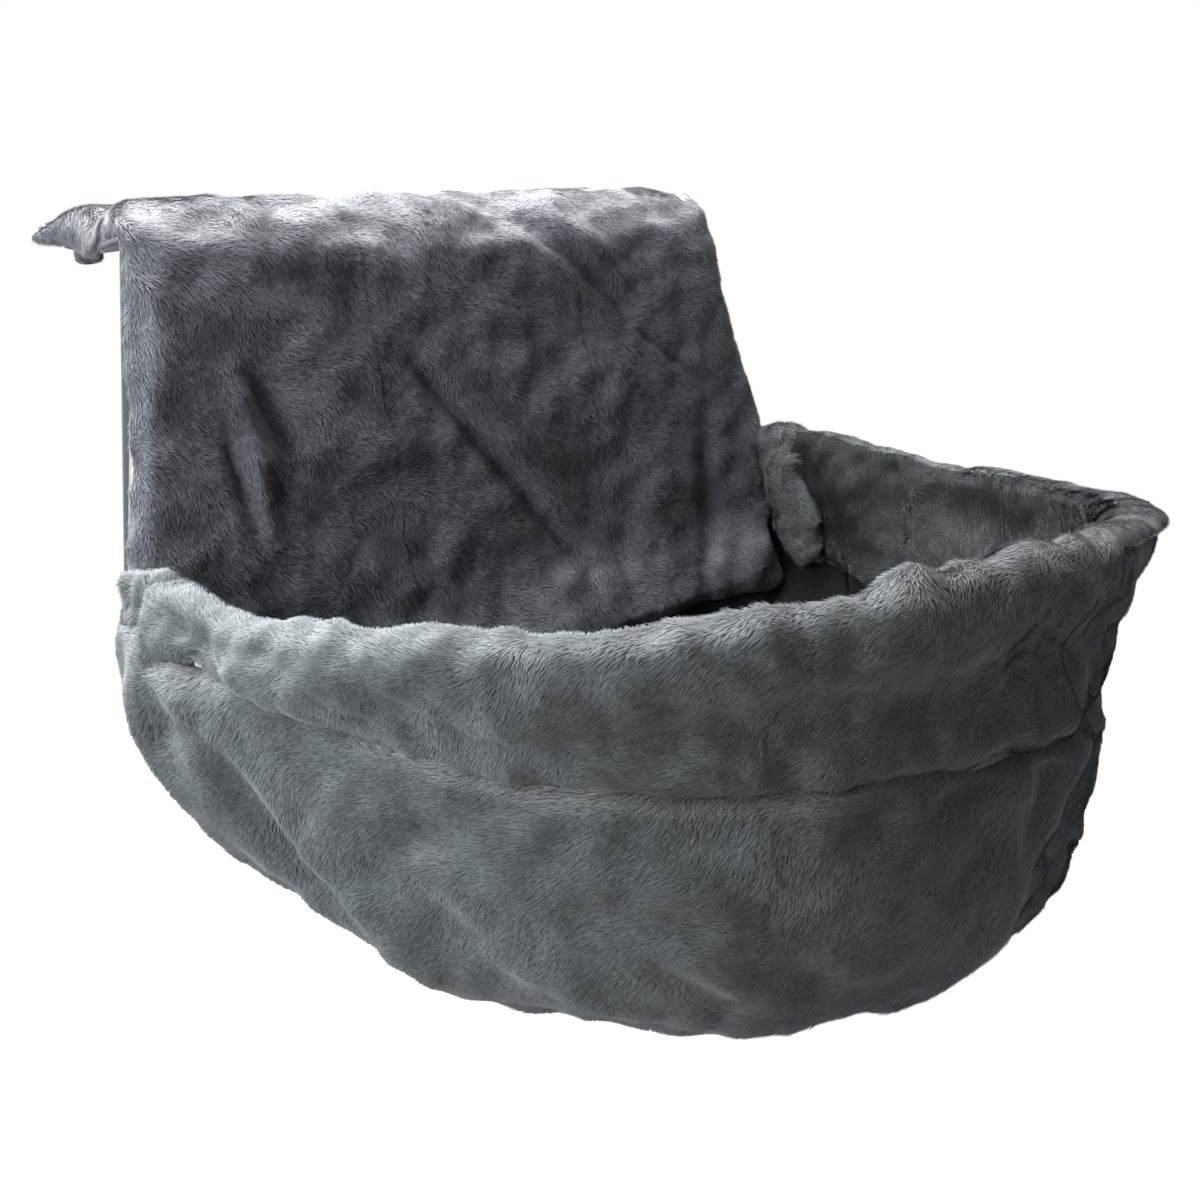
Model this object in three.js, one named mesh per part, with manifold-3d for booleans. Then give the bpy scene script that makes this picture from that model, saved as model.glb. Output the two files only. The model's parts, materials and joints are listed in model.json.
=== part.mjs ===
// Radiator cat bed: a plush pouch on a folding steel frame that hangs over a radiator.
// Millimetres, +Z up, the bed's front towards -Y, the radiator behind it towards +Y.
// Inside the bed group Y = 0 is the panel's rear face and Z = 0 is the level of the hoop's front.

import * as THREE from "three";
import { mergeVertices } from "three/addons/utils/BufferGeometryUtils.js";
import Module from "manifold-3d";

// Driving sizes of the frame
const hoopWidth = 434; // between the centres of the hoop's side arms
const hoopReach = 359; // from the panel's middle plane to the hoop's front
const hoopStraight = 38; // straight start of each side arm, from the panel's middle plane
const hoopSquareness = 2.27; // exponent of the hoop's plan curve, 2 is an ellipse
const armRise = 22; // how far the side arms climb towards their pivots
const armRiseRun = 100; // over this length ahead of the pivot
const rodRadius = 3;
const topZ = 190; // hoop level to the centre of the rods along the top
const topWidth = 360; // between the hook rods' centres at the top
const hookReach = 70; // panel's rear face to the centre of the hook's turned down end
const hookDrop = 9; // rod centre along the top to the rod's lower end
const rodBend = 6; // how far the rods' bends start from their corners
const crossDrop = 22; // rods along the top down to the upper cross rod
const crossLift = 1; // lower cross rod's underside above the hook rods' lower ends

// Driving sizes of the cover
const liningWall = 3;
const plushWall = 8; // backing cloth and pile
const seamGap = 0.3; // between parts that lie on each other
const looseGap = 0.6; // between parts that lie loosely beside each other
const panelDrop = 45; // hoop level to the panel's bottom edge
const flapReach = 86; // panel's rear face to the flap's rear edge
const flapKnee = 48; // panel's rear face to where the flap starts to rise
const flapRise = 8; // of the flap's rear edge
const topBend = 12; // radius of the plush over the top edge
const sideMargin = 9; // rod centre to the cover's side edge
const rollRadius = 12.5; // the rim's roll round the hoop
const rollSlack = 0.8; // room round the hoop's rod inside the roll
const bandHeight = 80; // hoop level to the rim band's seam at the front
const bandEndHeight = 30; // the same where the band starts, next to the hinge
const bandProud = 2; // the band stands this far outside the pouch below it
const seamRun = 140; // over this length the band widens
const restDepth = 40; // panel's rear face to the middle of the flap

// Driving sizes of the pouch
const pouchDepth = 190; // hoop level to the pouch's lowest point
const pouchOuterWall = 6;
const pouchPaddingWall = 2.4; // pressed flat between the plush layers
const pouchLiningWall = 6;
const layerGap = 0.9; // between the pouch's layers
const closeLevel = 25; // hoop level down to where the bag starts to close
const drawLevel = 40; // hoop level down to where its wall has drawn in from the rim
const frontDraw = -11; // how far the wall stands outside the hoop's line there, at the front
const rearDraw = 7; // the same beside the panel
const drawRun = 200; // over this length ahead of the panel
const lowestReach = 223; // panel's middle plane to the pouch's lowest point
const wallSquareness = 5.5; // exponent of the bag's shrinking plan
const cornerSquareness = 3; // the same beside the panel
const depthSquareness = 2; // exponent of the bag's fall
const cornerBulge = 12; // how far the bag swells out sideways beside the panel
const cornerRun = 100; // over this length ahead of the panel
const cornerEase = 30; // the swelling grows over this length from the corner
const bulgeTop = 10; // the swelling starts this far over the hoop's level
const bulgeFall = 40; // and is full this far below its start
const foldHeight = 9; // of the highest fold and the deepest crease
const foldWidth = 15; // half the width of a fold
const foldFade = 20; // folds fade out over this height under the band's seam
const pleatDepth = 4.5; // of the pleats inside the pouch
const pleatFade = 14; // pleats fade out over this height under the roll
const cornerRadius = 13; // of the bag's plan beside the panel
const hingeRoom = 15; // walls stay this far under the pivot line
const edgeRun = 6; // length over which the outer wall's edge drops to the seam
const edgeStep = 3; // the outer wall's edge lies this far below the inner walls' edge

// Driving sizes of the hinges
const pivotOffset = 13.4; // panel's front face to the pivot line
const rivetRadius = 2;
const hingeClearance = 0.3;
const bracketPlate = 2;
const bracketHeight = 13;
const tongueWall = 4; // the flattened end of the hoop's rod
const tongueHeight = 9;
const tongueLength = 19; // pivot to the tongue's front end
const bandClearance = 0.9; // tongue's front end to the rim band
const washerWall = 1.2;
const washerRadius = 4.6;

// Driving sizes of the zip
const zipLength = 300;
const zipLevel = -18; // height of the zip's middle
const zipSlot = 12; // height of the slot in the lining
const sliderLength = 12;

const cuts = 5; // overrun of every cut

// Worked out from the driving sizes
const rodY = -(liningWall + seamGap + rodRadius);
const plushInner = rodY - rodRadius - seamGap;
const panelFront = plushInner - plushWall;
const panelMiddle = panelFront / 2;
const pivotY = panelFront - pivotOffset;
const pivotZ = armRise;
const flapUnderside = topZ - rodRadius - seamGap - liningWall;
const flapTop = topZ + rodRadius + seamGap + plushWall;

const wasm = await Module();
wasm.setup();

// Materials, one for each finish

function finish(color, roughness, metalness) {
  return new THREE.MeshStandardMaterial({ color, roughness, metalness });
}

const plush = finish(0x4c5156, 0.95, 0);
const plushLight = finish(0x6d7376, 0.95, 0);
const lining = finish(0x3b3e43, 0.9, 0);
const wadding = finish(0xe4e4e0, 0.95, 0);
const steel = finish(0xb4b7ba, 0.35, 1);
const nylon = finish(0xd9d9d4, 0.5, 0);
const rubber = finish(0x1e1f21, 0.7, 0);
const tapeCloth = finish(0x34373b, 0.85, 0);
const zinc = finish(0x8d9094, 0.4, 1);

// Helpers

const mergeTolerance = 1e-4;

function solidOf(geometry) {
  const bare = geometry.index ? geometry.toNonIndexed() : geometry.clone();
  bare.deleteAttribute("normal");
  bare.deleteAttribute("uv");
  const merged = mergeVertices(bare, mergeTolerance);
  const vertProperties = new Float32Array(merged.attributes.position.array);
  const triVerts = new Uint32Array(merged.index.array);
  return new wasm.Manifold(new wasm.Mesh({ numProp: 3, vertProperties, triVerts }));
}

function geometryOf(solid) {
  const { vertProperties, triVerts } = solid.getMesh();
  const geometry = new THREE.BufferGeometry();
  geometry.setAttribute("position", new THREE.BufferAttribute(vertProperties, 3));
  geometry.setIndex(new THREE.BufferAttribute(triVerts, 1));
  geometry.computeVertexNormals();
  return geometry;
}

function shapeOf(points) {
  return new THREE.Shape(points.map(([a, b]) => new THREE.Vector2(a, b)));
}

const alongX = new THREE.Matrix4().makeBasis(
  new THREE.Vector3(0, 1, 0),
  new THREE.Vector3(0, 0, 1),
  new THREE.Vector3(1, 0, 0),
);
const alongMinusY = new THREE.Matrix4().makeBasis(
  new THREE.Vector3(1, 0, 0),
  new THREE.Vector3(0, 0, 1),
  new THREE.Vector3(0, -1, 0),
);

// A prism along X from low to high; its outline is in (Y, Z)
function prismX(shape, low, high, curveSegments = 12) {
  const options = { depth: high - low, bevelEnabled: false, curveSegments };
  return new THREE.ExtrudeGeometry(shape, options).translate(0, 0, low).applyMatrix4(alongX);
}

// A prism along Y from low to high; its outline is in (X, Z)
function prismY(shape, low, high) {
  const geometry = new THREE.ExtrudeGeometry(shape, { depth: high - low, bevelEnabled: false });
  return geometry.translate(0, 0, -high).applyMatrix4(alongMinusY);
}

function block(low, high) {
  const size = high.map((value, i) => value - low[i]);
  const middle = high.map((value, i) => (value + low[i]) / 2);
  return new THREE.BoxGeometry(...size).translate(...middle);
}

function circle(radius) {
  return new THREE.Shape().absarc(0, 0, radius, 0, 2 * Math.PI);
}

// A turned piece; the profile is in (radius, height), the axis is Z
function turnedZ(profile, segments = 16) {
  const points = profile.map(([r, h]) => new THREE.Vector2(r, h));
  return new THREE.LatheGeometry(points, segments).rotateX(Math.PI / 2);
}

function turnedX(profile, segments = 16) {
  return turnedZ(profile, segments).rotateY(Math.PI / 2);
}

// A line through corner points with each inner corner rounded, by the radius at a right angle
function roundedPath(corners, radius) {
  const path = new THREE.CurvePath();
  const points = corners.map((corner) => new THREE.Vector3(...corner));
  let from = points[0];
  for (let i = 1; i < points.length - 1; i++) {
    const back = points[i - 1].clone().sub(points[i]).normalize();
    const ahead = points[i + 1].clone().sub(points[i]).normalize();
    const bend = 2 * radius * (1 - back.angleTo(ahead) / Math.PI);
    const start = points[i].clone().addScaledVector(back, bend);
    const end = points[i].clone().addScaledVector(ahead, bend);
    path.add(new THREE.LineCurve3(from, start));
    path.add(new THREE.QuadraticBezierCurve3(start, points[i], end));
    from = end;
  }
  path.add(new THREE.LineCurve3(from, points[points.length - 1]));
  return path;
}

// A round rod with eight sides along a path
function rodAlong(path, steps) {
  const options = { extrudePath: path, steps, curveSegments: 4 };
  return new THREE.ExtrudeGeometry(circle(rodRadius), options);
}

// A straight round bar along X, centred on the origin
function barX(radius, length, barSides = 12) {
  return new THREE.CylinderGeometry(radius, radius, length, barSides).rotateZ(Math.PI / 2);
}

// A round hole for an outline, with its centre at (a, b)
function holeAt(a, b, radius) {
  return new THREE.Path().absarc(a, b, radius, 0, 2 * Math.PI, true);
}

const smooth = (share) => {
  const t = Math.min(1, Math.max(0, share));
  return t * t * (3 - 2 * t);
};

const bed = new THREE.Group();

function add(name, geometry, material) {
  const mesh = new THREE.Mesh(geometry, material);
  mesh.name = name;
  bed.add(mesh);
  return mesh;
}

const sides = [
  ["left", -1],
  ["right", 1],
];

// Hoop: its plan curve and the way its arms climb towards the pivots

function armHeight(y) {
  return armRise * smooth((y - pivotY + armRiseRun) / armRiseRun);
}

function hoopPoint(angle) {
  const across = Math.cos(angle);
  const x = -(hoopWidth / 2) * Math.sign(across) * Math.abs(across) ** (2 / hoopSquareness);
  const ahead = (hoopReach - hoopStraight) * Math.abs(Math.sin(angle)) ** (2 / hoopSquareness);
  const y = panelMiddle - hoopStraight - ahead;
  return new THREE.Vector3(x, y, armHeight(y));
}

const curveStations = 31;
const crowdingShare = 0.45; // stations lie closer together towards the pivots
const hoopAngles = Array.from({ length: curveStations }, (_, i) => {
  const turn = (2 * Math.PI * i) / (curveStations - 1);
  return (turn - crowdingShare * Math.sin(turn)) / 2;
});

// Hinge: the pivot's hardware is laid out from the middle of the hoop's arm outwards

const clevisInner = tongueWall / 2 + washerWall + 2 * hingeClearance;
const clevisOuter = clevisInner + bracketPlate;
const webRear = rodY - rodRadius - seamGap;
const webFront = webRear - bracketPlate;
const tabLength = 6; // floor tab that the tongue rests on
const tabNear = 6; // pivot line to the floor tab
const bracketFront = pivotY - tabNear - tabLength;
const bracketBottom = pivotZ - tongueHeight / 2 - hingeClearance - bracketPlate;
const bracketTop = bracketBottom + bracketHeight;
const tongueFrontY = pivotY - tongueLength;
const armX = hoopWidth / 2;

function makeBracket(x) {
  const arm = shapeOf([
    [webRear, bracketBottom],
    [webRear, bracketTop],
    [bracketFront, bracketTop],
    [bracketFront, bracketBottom],
  ]);
  arm.holes.push(holeAt(pivotY, pivotZ, rivetRadius + hingeClearance));
  const web = block([-clevisOuter, webFront, bracketBottom], [clevisOuter, webRear, bracketTop]);
  const tab = block(
    [-clevisOuter, bracketFront, bracketBottom],
    [clevisOuter, bracketFront + tabLength, bracketBottom + bracketPlate],
  );
  let solid = solidOf(web).add(solidOf(tab));
  solid = solid.add(solidOf(prismX(arm, clevisInner, clevisOuter)));
  solid = solid.add(solidOf(prismX(arm, -clevisOuter, -clevisInner)));
  return geometryOf(solid).translate(x, 0, 0);
}

function makeTongue(x) {
  const half = tongueHeight / 2;
  const outline = new THREE.Shape();
  outline.moveTo(tongueFrontY, pivotZ - half);
  outline.lineTo(pivotY, pivotZ - half);
  outline.absarc(pivotY, pivotZ, half, -Math.PI / 2, Math.PI / 2);
  outline.lineTo(tongueFrontY, pivotZ + half);
  outline.holes.push(holeAt(pivotY, pivotZ, rivetRadius + hingeClearance));
  return prismX(outline, x - tongueWall / 2, x + tongueWall / 2);
}

function makeRivet() {
  const headRadius = 3.6;
  const headWall = 1.5;
  const half = clevisOuter + hingeClearance;
  return turnedX([
    [0, -half - headWall],
    [headRadius, -half - headWall / 2],
    [headRadius, -half],
    [rivetRadius, -half],
    [rivetRadius, half],
    [headRadius, half],
    [headRadius, half + headWall / 2],
    [0, half + headWall],
  ]);
}

function makeWasher() {
  const bore = rivetRadius + hingeClearance;
  return turnedX([
    [bore, -washerWall / 2],
    [washerRadius, -washerWall / 2],
    [washerRadius, washerWall / 2],
    [bore, washerWall / 2],
    [bore, -washerWall / 2],
  ]);
}

// Hanger frame: two hook rods, two cross rods, caps on the hooks' ends

const crossTopZ = topZ - crossDrop;
const uprightFootZ = bracketBottom - seamGap;
const crossLowZ = uprightFootZ + rodRadius + crossLift;

// The hook rods splay from the top width to the hoop's width
function uprightX(z) {
  const share = (topZ - z) / (topZ - uprightFootZ);
  return topWidth / 2 + (armX - topWidth / 2) * share;
}

const hookSteps = 50;
const riseAt = (y) => (flapRise * Math.max(0, y - flapKnee)) / (flapReach - flapKnee);
const hookLift = riseAt(hookReach);

for (const [side, sign] of sides) {
  const path = roundedPath(
    [
      [sign * topWidth / 2, hookReach, topZ + hookLift - hookDrop],
      [sign * topWidth / 2, hookReach, topZ + hookLift],
      [sign * topWidth / 2, flapKnee, topZ],
      [sign * topWidth / 2, rodY, topZ],
      [sign * armX, rodY, uprightFootZ],
    ],
    rodBend,
  );
  add(`hook_rod_${side}`, rodAlong(path, hookSteps), steel);
}

function makeCrossRod(z) {
  const half = uprightX(z) - rodRadius - looseGap;
  return barX(rodRadius, 2 * half).translate(0, rodY, z);
}

add("upper_cross_rod", makeCrossRod(crossTopZ), steel);
add("lower_cross_rod", makeCrossRod(crossLowZ), steel);

const capWall = 1.5;
const capHeight = 5;
const capRadius = rodRadius + seamGap + capWall;
const capBottom = topZ + hookLift - hookDrop - seamGap - capWall;

for (const [side, sign] of sides) {
  const cap = turnedZ([
    [0, capBottom],
    [capRadius, capBottom],
    [capRadius, capBottom + capHeight],
    [rodRadius + seamGap, capBottom + capHeight],
    [rodRadius + seamGap, capBottom + capWall],
    [0, capBottom + capWall],
  ]);
  add(`hook_cap_${side}`, cap.translate(sign * topWidth / 2, hookReach, 0), rubber);
}

for (const [side, sign] of sides) {
  const x = sign * armX;
  add(`hinge_bracket_${side}`, makeBracket(x), steel);
  add(`hinge_rivet_${side}`, makeRivet().translate(x, pivotY, pivotZ), steel);
  const offset = tongueWall / 2 + hingeClearance + washerWall / 2;
  add(`hinge_washer_${side}_inner`, makeWasher().translate(x - sign * offset, pivotY, pivotZ), nylon);
  add(`hinge_washer_${side}_outer`, makeWasher().translate(x + sign * offset, pivotY, pivotZ), nylon);
}

// Hoop rod: one swept bar with a flattened, drilled tongue at each end

const tongueOverlap = 5; // the round rod runs this far into the tongue
const rodStartY = tongueFrontY + tongueOverlap;
const bandStartY = tongueFrontY - bandClearance;
const hoopSteps = 90;
const armPoint = (sign, y) => new THREE.Vector3(sign * armX, y, armHeight(y));
const hoopCourse = [
  armPoint(-1, rodStartY),
  armPoint(-1, bandStartY),
  ...hoopAngles.slice(1, -1).map(hoopPoint),
  armPoint(1, bandStartY),
  armPoint(1, rodStartY),
];
const hoopPath = new THREE.CurvePath();
hoopCourse.slice(1).forEach((point, i) => hoopPath.add(new THREE.LineCurve3(hoopCourse[i], point)));
let hoopSolid = solidOf(rodAlong(hoopPath, hoopSteps));
for (const [, sign] of sides) {
  hoopSolid = hoopSolid.add(solidOf(makeTongue(sign * armX)));
}
add("hoop_rod", geometryOf(hoopSolid), steel);

// Cover, back panel: plush over the front and the top flap, lining behind and under it

const topHalf = topWidth / 2 + sideMargin;
const lowHalf = armX + sideMargin;
const bottomHalf = armX - plushWall;

// The panel's outline seen from the front, drawn in by inset
function panelOutline(inset) {
  const high = flapTop + flapRise + cuts;
  const low = -panelDrop + inset;
  return shapeOf([
    [topHalf - inset, high],
    [-topHalf + inset, high],
    [-topHalf + inset, topZ],
    [-lowHalf + inset, uprightFootZ],
    [-lowHalf + inset, 0],
    [-bottomHalf + inset, low],
    [bottomHalf - inset, low],
    [lowHalf - inset, 0],
    [lowHalf - inset, uprightFootZ],
    [topHalf - inset, topZ],
  ]);
}

const bendSteps = 8;

// A bent sheet seen from the side: panel up the front, flap to the rear over the top.
// The flap rises behind its knee.
function bentSheet(front, rear, top, underside, end, bend) {
  const outline = new THREE.Shape();
  outline.moveTo(rear, -panelDrop - cuts);
  outline.lineTo(rear, underside);
  outline.lineTo(flapKnee, underside);
  outline.lineTo(end, underside + riseAt(end));
  outline.lineTo(end, top + riseAt(end));
  outline.lineTo(flapKnee, top);
  outline.lineTo(front + bend, top);
  outline.absarc(front + bend, top - bend, bend, Math.PI / 2, Math.PI);
  outline.lineTo(front, -panelDrop - cuts);
  return solidOf(prismX(outline, -lowHalf - cuts, lowHalf + cuts, bendSteps));
}

const trimmed = (solid, inset) =>
  solid.intersect(solidOf(prismY(panelOutline(inset), panelFront - cuts, flapReach + cuts)));

const sheetFace = -(liningWall + seamGap);
const sheetUnderside = flapUnderside + liningWall + seamGap;
const edgeWall = sideMargin - rodRadius - looseGap;

const plushBlank = bentSheet(panelFront, sheetFace, flapTop, sheetUnderside, flapReach, topBend);
const hollowTop = flapTop - plushWall + looseGap;
const hollowEnd = flapReach - edgeWall;
const hollowLow = sheetUnderside - cuts;
const plushHollow = bentSheet(plushInner, sheetFace + cuts, hollowTop, hollowLow, hollowEnd, rodRadius);
let plushSolid = trimmed(plushBlank, 0).subtract(trimmed(plushHollow, edgeWall));
for (const [, sign] of sides) {
  const x = sign * armX;
  const room = clevisOuter + looseGap;
  const low = [x - room, panelFront - cuts, bracketBottom - looseGap];
  const high = [x + room, plushInner + cuts, bracketTop + looseGap];
  plushSolid = plushSolid.subtract(solidOf(block(low, high)));
}
add("back_panel_plush", geometryOf(plushSolid), plush);

const pocketWall = 2;
const pocketRoom = capRadius + seamGap;
const pocketOuter = pocketRoom + pocketWall;
const pocketFloor = capBottom - seamGap - pocketWall;
const pocketRim = flapUnderside + hookLift + liningWall / 2;

const liningTop = flapUnderside + liningWall;
const liningBlank = bentSheet(-liningWall, 0, liningTop, flapUnderside, flapReach, liningWall);
let liningSolid = trimmed(liningBlank, seamGap);
const slotHalf = zipLength / 2 + sliderLength / 2;
const slotLow = zipLevel - zipSlot / 2;
const slotHigh = zipLevel + zipSlot / 2;
const slotCut = block([-slotHalf, -liningWall - cuts, slotLow], [slotHalf, cuts, slotHigh]);
liningSolid = liningSolid.subtract(solidOf(slotCut));
for (const [, sign] of sides) {
  const low = flapUnderside - cuts;
  const high = liningTop + flapRise + cuts;
  const hole = turnedZ([
    [0, low],
    [pocketOuter + seamGap, low],
    [pocketOuter + seamGap, high],
    [0, high],
  ]);
  liningSolid = liningSolid.subtract(solidOf(hole.translate(sign * topWidth / 2, hookReach, 0)));
}
add("back_lining", geometryOf(liningSolid), lining);

// Wadding in the panel, between the rods

const paddingWall = 2 * rodRadius;
const paddingRoom = 1.5; // to the cross rods
const paddingSideRoom = 2.4; // to the hook rods
const paddingLow = crossLowZ + rodRadius + paddingRoom;
const paddingHigh = crossTopZ - rodRadius - paddingRoom;
const paddingHalf = (z) => uprightX(z) - rodRadius - paddingSideRoom;
const paddingOutline = shapeOf([
  [-paddingHalf(paddingLow), paddingLow],
  [paddingHalf(paddingLow), paddingLow],
  [paddingHalf(paddingHigh), paddingHigh],
  [-paddingHalf(paddingHigh), paddingHigh],
]);
add("panel_padding", prismY(paddingOutline, rodY - paddingWall / 2, rodY + paddingWall / 2), wadding);

// Pockets set into holes in the flap's corners, round the hooks' turned down ends

for (const [side, sign] of sides) {
  const pocket = turnedZ([
    [0, pocketFloor],
    [pocketOuter - pocketWall / 2, pocketFloor],
    [pocketOuter, pocketFloor + pocketWall / 2],
    [pocketOuter, pocketRim],
    [pocketRoom, pocketRim],
    [pocketRoom, pocketFloor + pocketWall],
    [0, pocketFloor + pocketWall],
  ]);
  add(`hook_pocket_${side}`, pocket.translate(sign * topWidth / 2, hookReach, 0), plush);
}

// Zip in the lining: two toothed tapes, two stops, a slider and its pull

const tapeWall = 0.8;
const tapeWidth = 9;
const beadWall = 2.4;
const beadHeight = 2.2;
const beadHalfGap = 0.9; // the slider's post runs between the beads
const tapeOuter = -liningWall - seamGap;
const tapeMiddle = tapeOuter - tapeWall / 2;

for (const [name, sign] of [["upper", 1], ["lower", -1]]) {
  const z = (rise) => zipLevel + sign * rise;
  const outline = [
    [tapeMiddle - beadWall / 2, z(beadHalfGap)],
    [tapeMiddle + beadWall / 2, z(beadHalfGap)],
    [tapeMiddle + beadWall / 2, z(beadHalfGap + beadHeight)],
    [tapeMiddle + tapeWall / 2, z(beadHalfGap + beadHeight)],
    [tapeMiddle + tapeWall / 2, z(beadHalfGap + tapeWidth)],
    [tapeMiddle - tapeWall / 2, z(beadHalfGap + tapeWidth)],
    [tapeMiddle - tapeWall / 2, z(beadHalfGap + beadHeight)],
    [tapeMiddle - beadWall / 2, z(beadHalfGap + beadHeight)],
  ];
  add(`zip_tape_${name}`, prismX(shapeOf(outline), -zipLength / 2, zipLength / 2), tapeCloth);
}

const plateWall = 1.2;
const plateInner = tapeMiddle + beadWall / 2 + seamGap;
const plateOuter = plateInner + plateWall;
const sliderHalfHeight = 4.2;
const stopWidth = 2.5;
const stopX = zipLength / 2 - stopWidth;

for (const [side, sign] of sides) {
  const half = beadHalfGap + beadHeight;
  const low = [Math.min(sign * stopX, sign * (stopX + stopWidth)), plateInner, zipLevel - half];
  const outerX = Math.max(sign * stopX, sign * (stopX + stopWidth));
  const high = [outerX, plateInner + tapeWall, zipLevel + half];
  add(`zip_stop_${side}`, block(low, high), zinc);
}

const sliderX = stopX - sliderLength / 2 - looseGap;
const lugHalf = 0.8;
const lugRadius = 2;
const pinRadius = 0.6;
const eyeY = plateOuter + lugRadius;

function makeSlider() {
  const half = sliderLength / 2;
  const backPlate = tapeMiddle - beadWall / 2 - seamGap;
  const low = zipLevel - sliderHalfHeight;
  const high = zipLevel + sliderHalfHeight;
  const postHalf = beadHalfGap - seamGap;
  let solid = solidOf(block([-half, plateInner, low], [half, plateOuter, high]));
  solid = solid.add(solidOf(block([-half, backPlate - plateWall, low], [half, backPlate, high])));
  const postLow = [0, backPlate - plateWall, zipLevel - postHalf];
  const postHigh = [half, plateOuter, zipLevel + postHalf];
  solid = solid.add(solidOf(block(postLow, postHigh)));
  const lug = new THREE.Shape();
  lug.moveTo(plateInner, zipLevel - lugRadius);
  lug.lineTo(eyeY, zipLevel - lugRadius);
  lug.absarc(eyeY, zipLevel, lugRadius, -Math.PI / 2, Math.PI / 2);
  lug.lineTo(plateInner, zipLevel + lugRadius);
  lug.holes.push(holeAt(eyeY, zipLevel, pinRadius + seamGap));
  return geometryOf(solid.add(solidOf(prismX(lug, -lugHalf, lugHalf))));
}

function makePull() {
  const earWall = 1;
  const earInner = lugHalf + seamGap;
  const earOuter = earInner + earWall;
  const earRadius = 1.4;
  const pullWall = 1.2;
  const pullLength = 20;
  const tabTop = zipLevel - lugRadius - looseGap;
  const tabLow = zipLevel - pullLength;
  const ear = new THREE.Shape();
  ear.moveTo(eyeY - pullWall / 2, tabTop - pullWall);
  ear.lineTo(eyeY + pullWall / 2, tabTop - pullWall);
  ear.lineTo(eyeY + earRadius, zipLevel);
  ear.absarc(eyeY, zipLevel, earRadius, 0, Math.PI);
  const tabHalf = earOuter + earWall;
  const tab = block([-tabHalf, eyeY - pullWall / 2, tabLow], [tabHalf, eyeY + pullWall / 2, tabTop]);
  const pin = barX(pinRadius, 2 * earOuter).translate(0, eyeY, zipLevel);
  let solid = solidOf(tab).add(solidOf(pin));
  solid = solid.add(solidOf(prismX(ear, earInner, earOuter)));
  solid = solid.add(solidOf(prismX(ear, -earOuter, -earInner)));
  return geometryOf(solid);
}

add("zip_slider", makeSlider().translate(sliderX, 0, 0), zinc);
add("zip_pull", makePull().translate(sliderX, 0, 0), zinc);

// Pouch: every wall is a layer of one bag-shaped surface, drawn in by the layer's inset.
// The surface starts at the hoop, draws in from the rim's roll, swells out beside the panel,
// and closes to one lowest point.

const rimDraw = rollRadius - bandProud;
const lowestY = panelMiddle - lowestReach;
const rearLineY = -seamGap - rearDraw;
const cornerY = rearLineY - cornerRadius;
const wallTopDrop = rollRadius; // hoop's centre to the top of the padding and the inner wall
const cornerTurnShares = [0.05, 0.35, 0.7, 1]; // of a right angle
const rearPlaceShares = [0.6, 0.2, -0.2, -0.6]; // of half the straight rear wall

// Stations round the bag's plan: a place, the outward direction and the kind of stretch
function makeStations() {
  const stations = [];
  const arm = (sign, y) => ({ x: sign * armX, y, nx: sign, ny: 0, kind: "hinge" });
  const curve = (angle) => {
    const at = hoopPoint(angle);
    const near = 0.01;
    const before = hoopPoint(Math.max(0, angle - near));
    const after = hoopPoint(Math.min(Math.PI, angle + near));
    const along = after.sub(before).setZ(0).normalize();
    return { x: at.x, y: at.y, nx: along.y, ny: -along.x, kind: "band" };
  };
  const corner = (sign, turn) => {
    const x = sign * (armX - cornerRadius + cornerRadius * Math.cos(turn));
    const y = cornerY + cornerRadius * Math.sin(turn);
    return { x, y, nx: sign * Math.cos(turn), ny: Math.sin(turn), kind: "rear" };
  };
  const hingeEnd = bandStartY + edgeRun;
  const hingeYs = [cornerY, (cornerY + hingeEnd) / 2, hingeEnd];
  const cornerTurns = cornerTurnShares.map((share) => (share * Math.PI) / 2);
  hingeYs.forEach((y) => stations.push(arm(-1, y)));
  stations.push({ ...arm(-1, tongueFrontY), kind: "band" });
  hoopAngles.slice(1, -1).forEach((angle) => stations.push(curve(angle)));
  stations.push({ ...arm(1, tongueFrontY), kind: "band" });
  [...hingeYs].reverse().forEach((y) => stations.push(arm(1, y)));
  cornerTurns.forEach((turn) => stations.push(corner(1, turn)));
  const rearHalf = armX - cornerRadius;
  for (const share of rearPlaceShares) {
    stations.push({ x: share * rearHalf, y: rearLineY, nx: 0, ny: 1, kind: "rear" });
  }
  [...cornerTurns].reverse().forEach((turn) => stations.push(corner(-1, turn)));
  return stations;
}

const stations = makeStations();
const aheadOf = (station) => panelMiddle - station.y;
const rimHeight = (station) => armHeight(station.y);

const seamHeight = (station) =>
  -bandEndHeight - (bandHeight - bandEndHeight) * smooth((aheadOf(station) - hoopStraight) / seamRun);

// Lengths along the hoop's curve
const curved = stations.filter((station) => station.kind === "band");
let curveLength = 0;
curved.forEach((station, i) => {
  const before = curved[Math.max(0, i - 1)];
  curveLength += Math.hypot(station.x - before.x, station.y - before.y);
  station.run = curveLength;
  station.pleat = i % 2;
});

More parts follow.
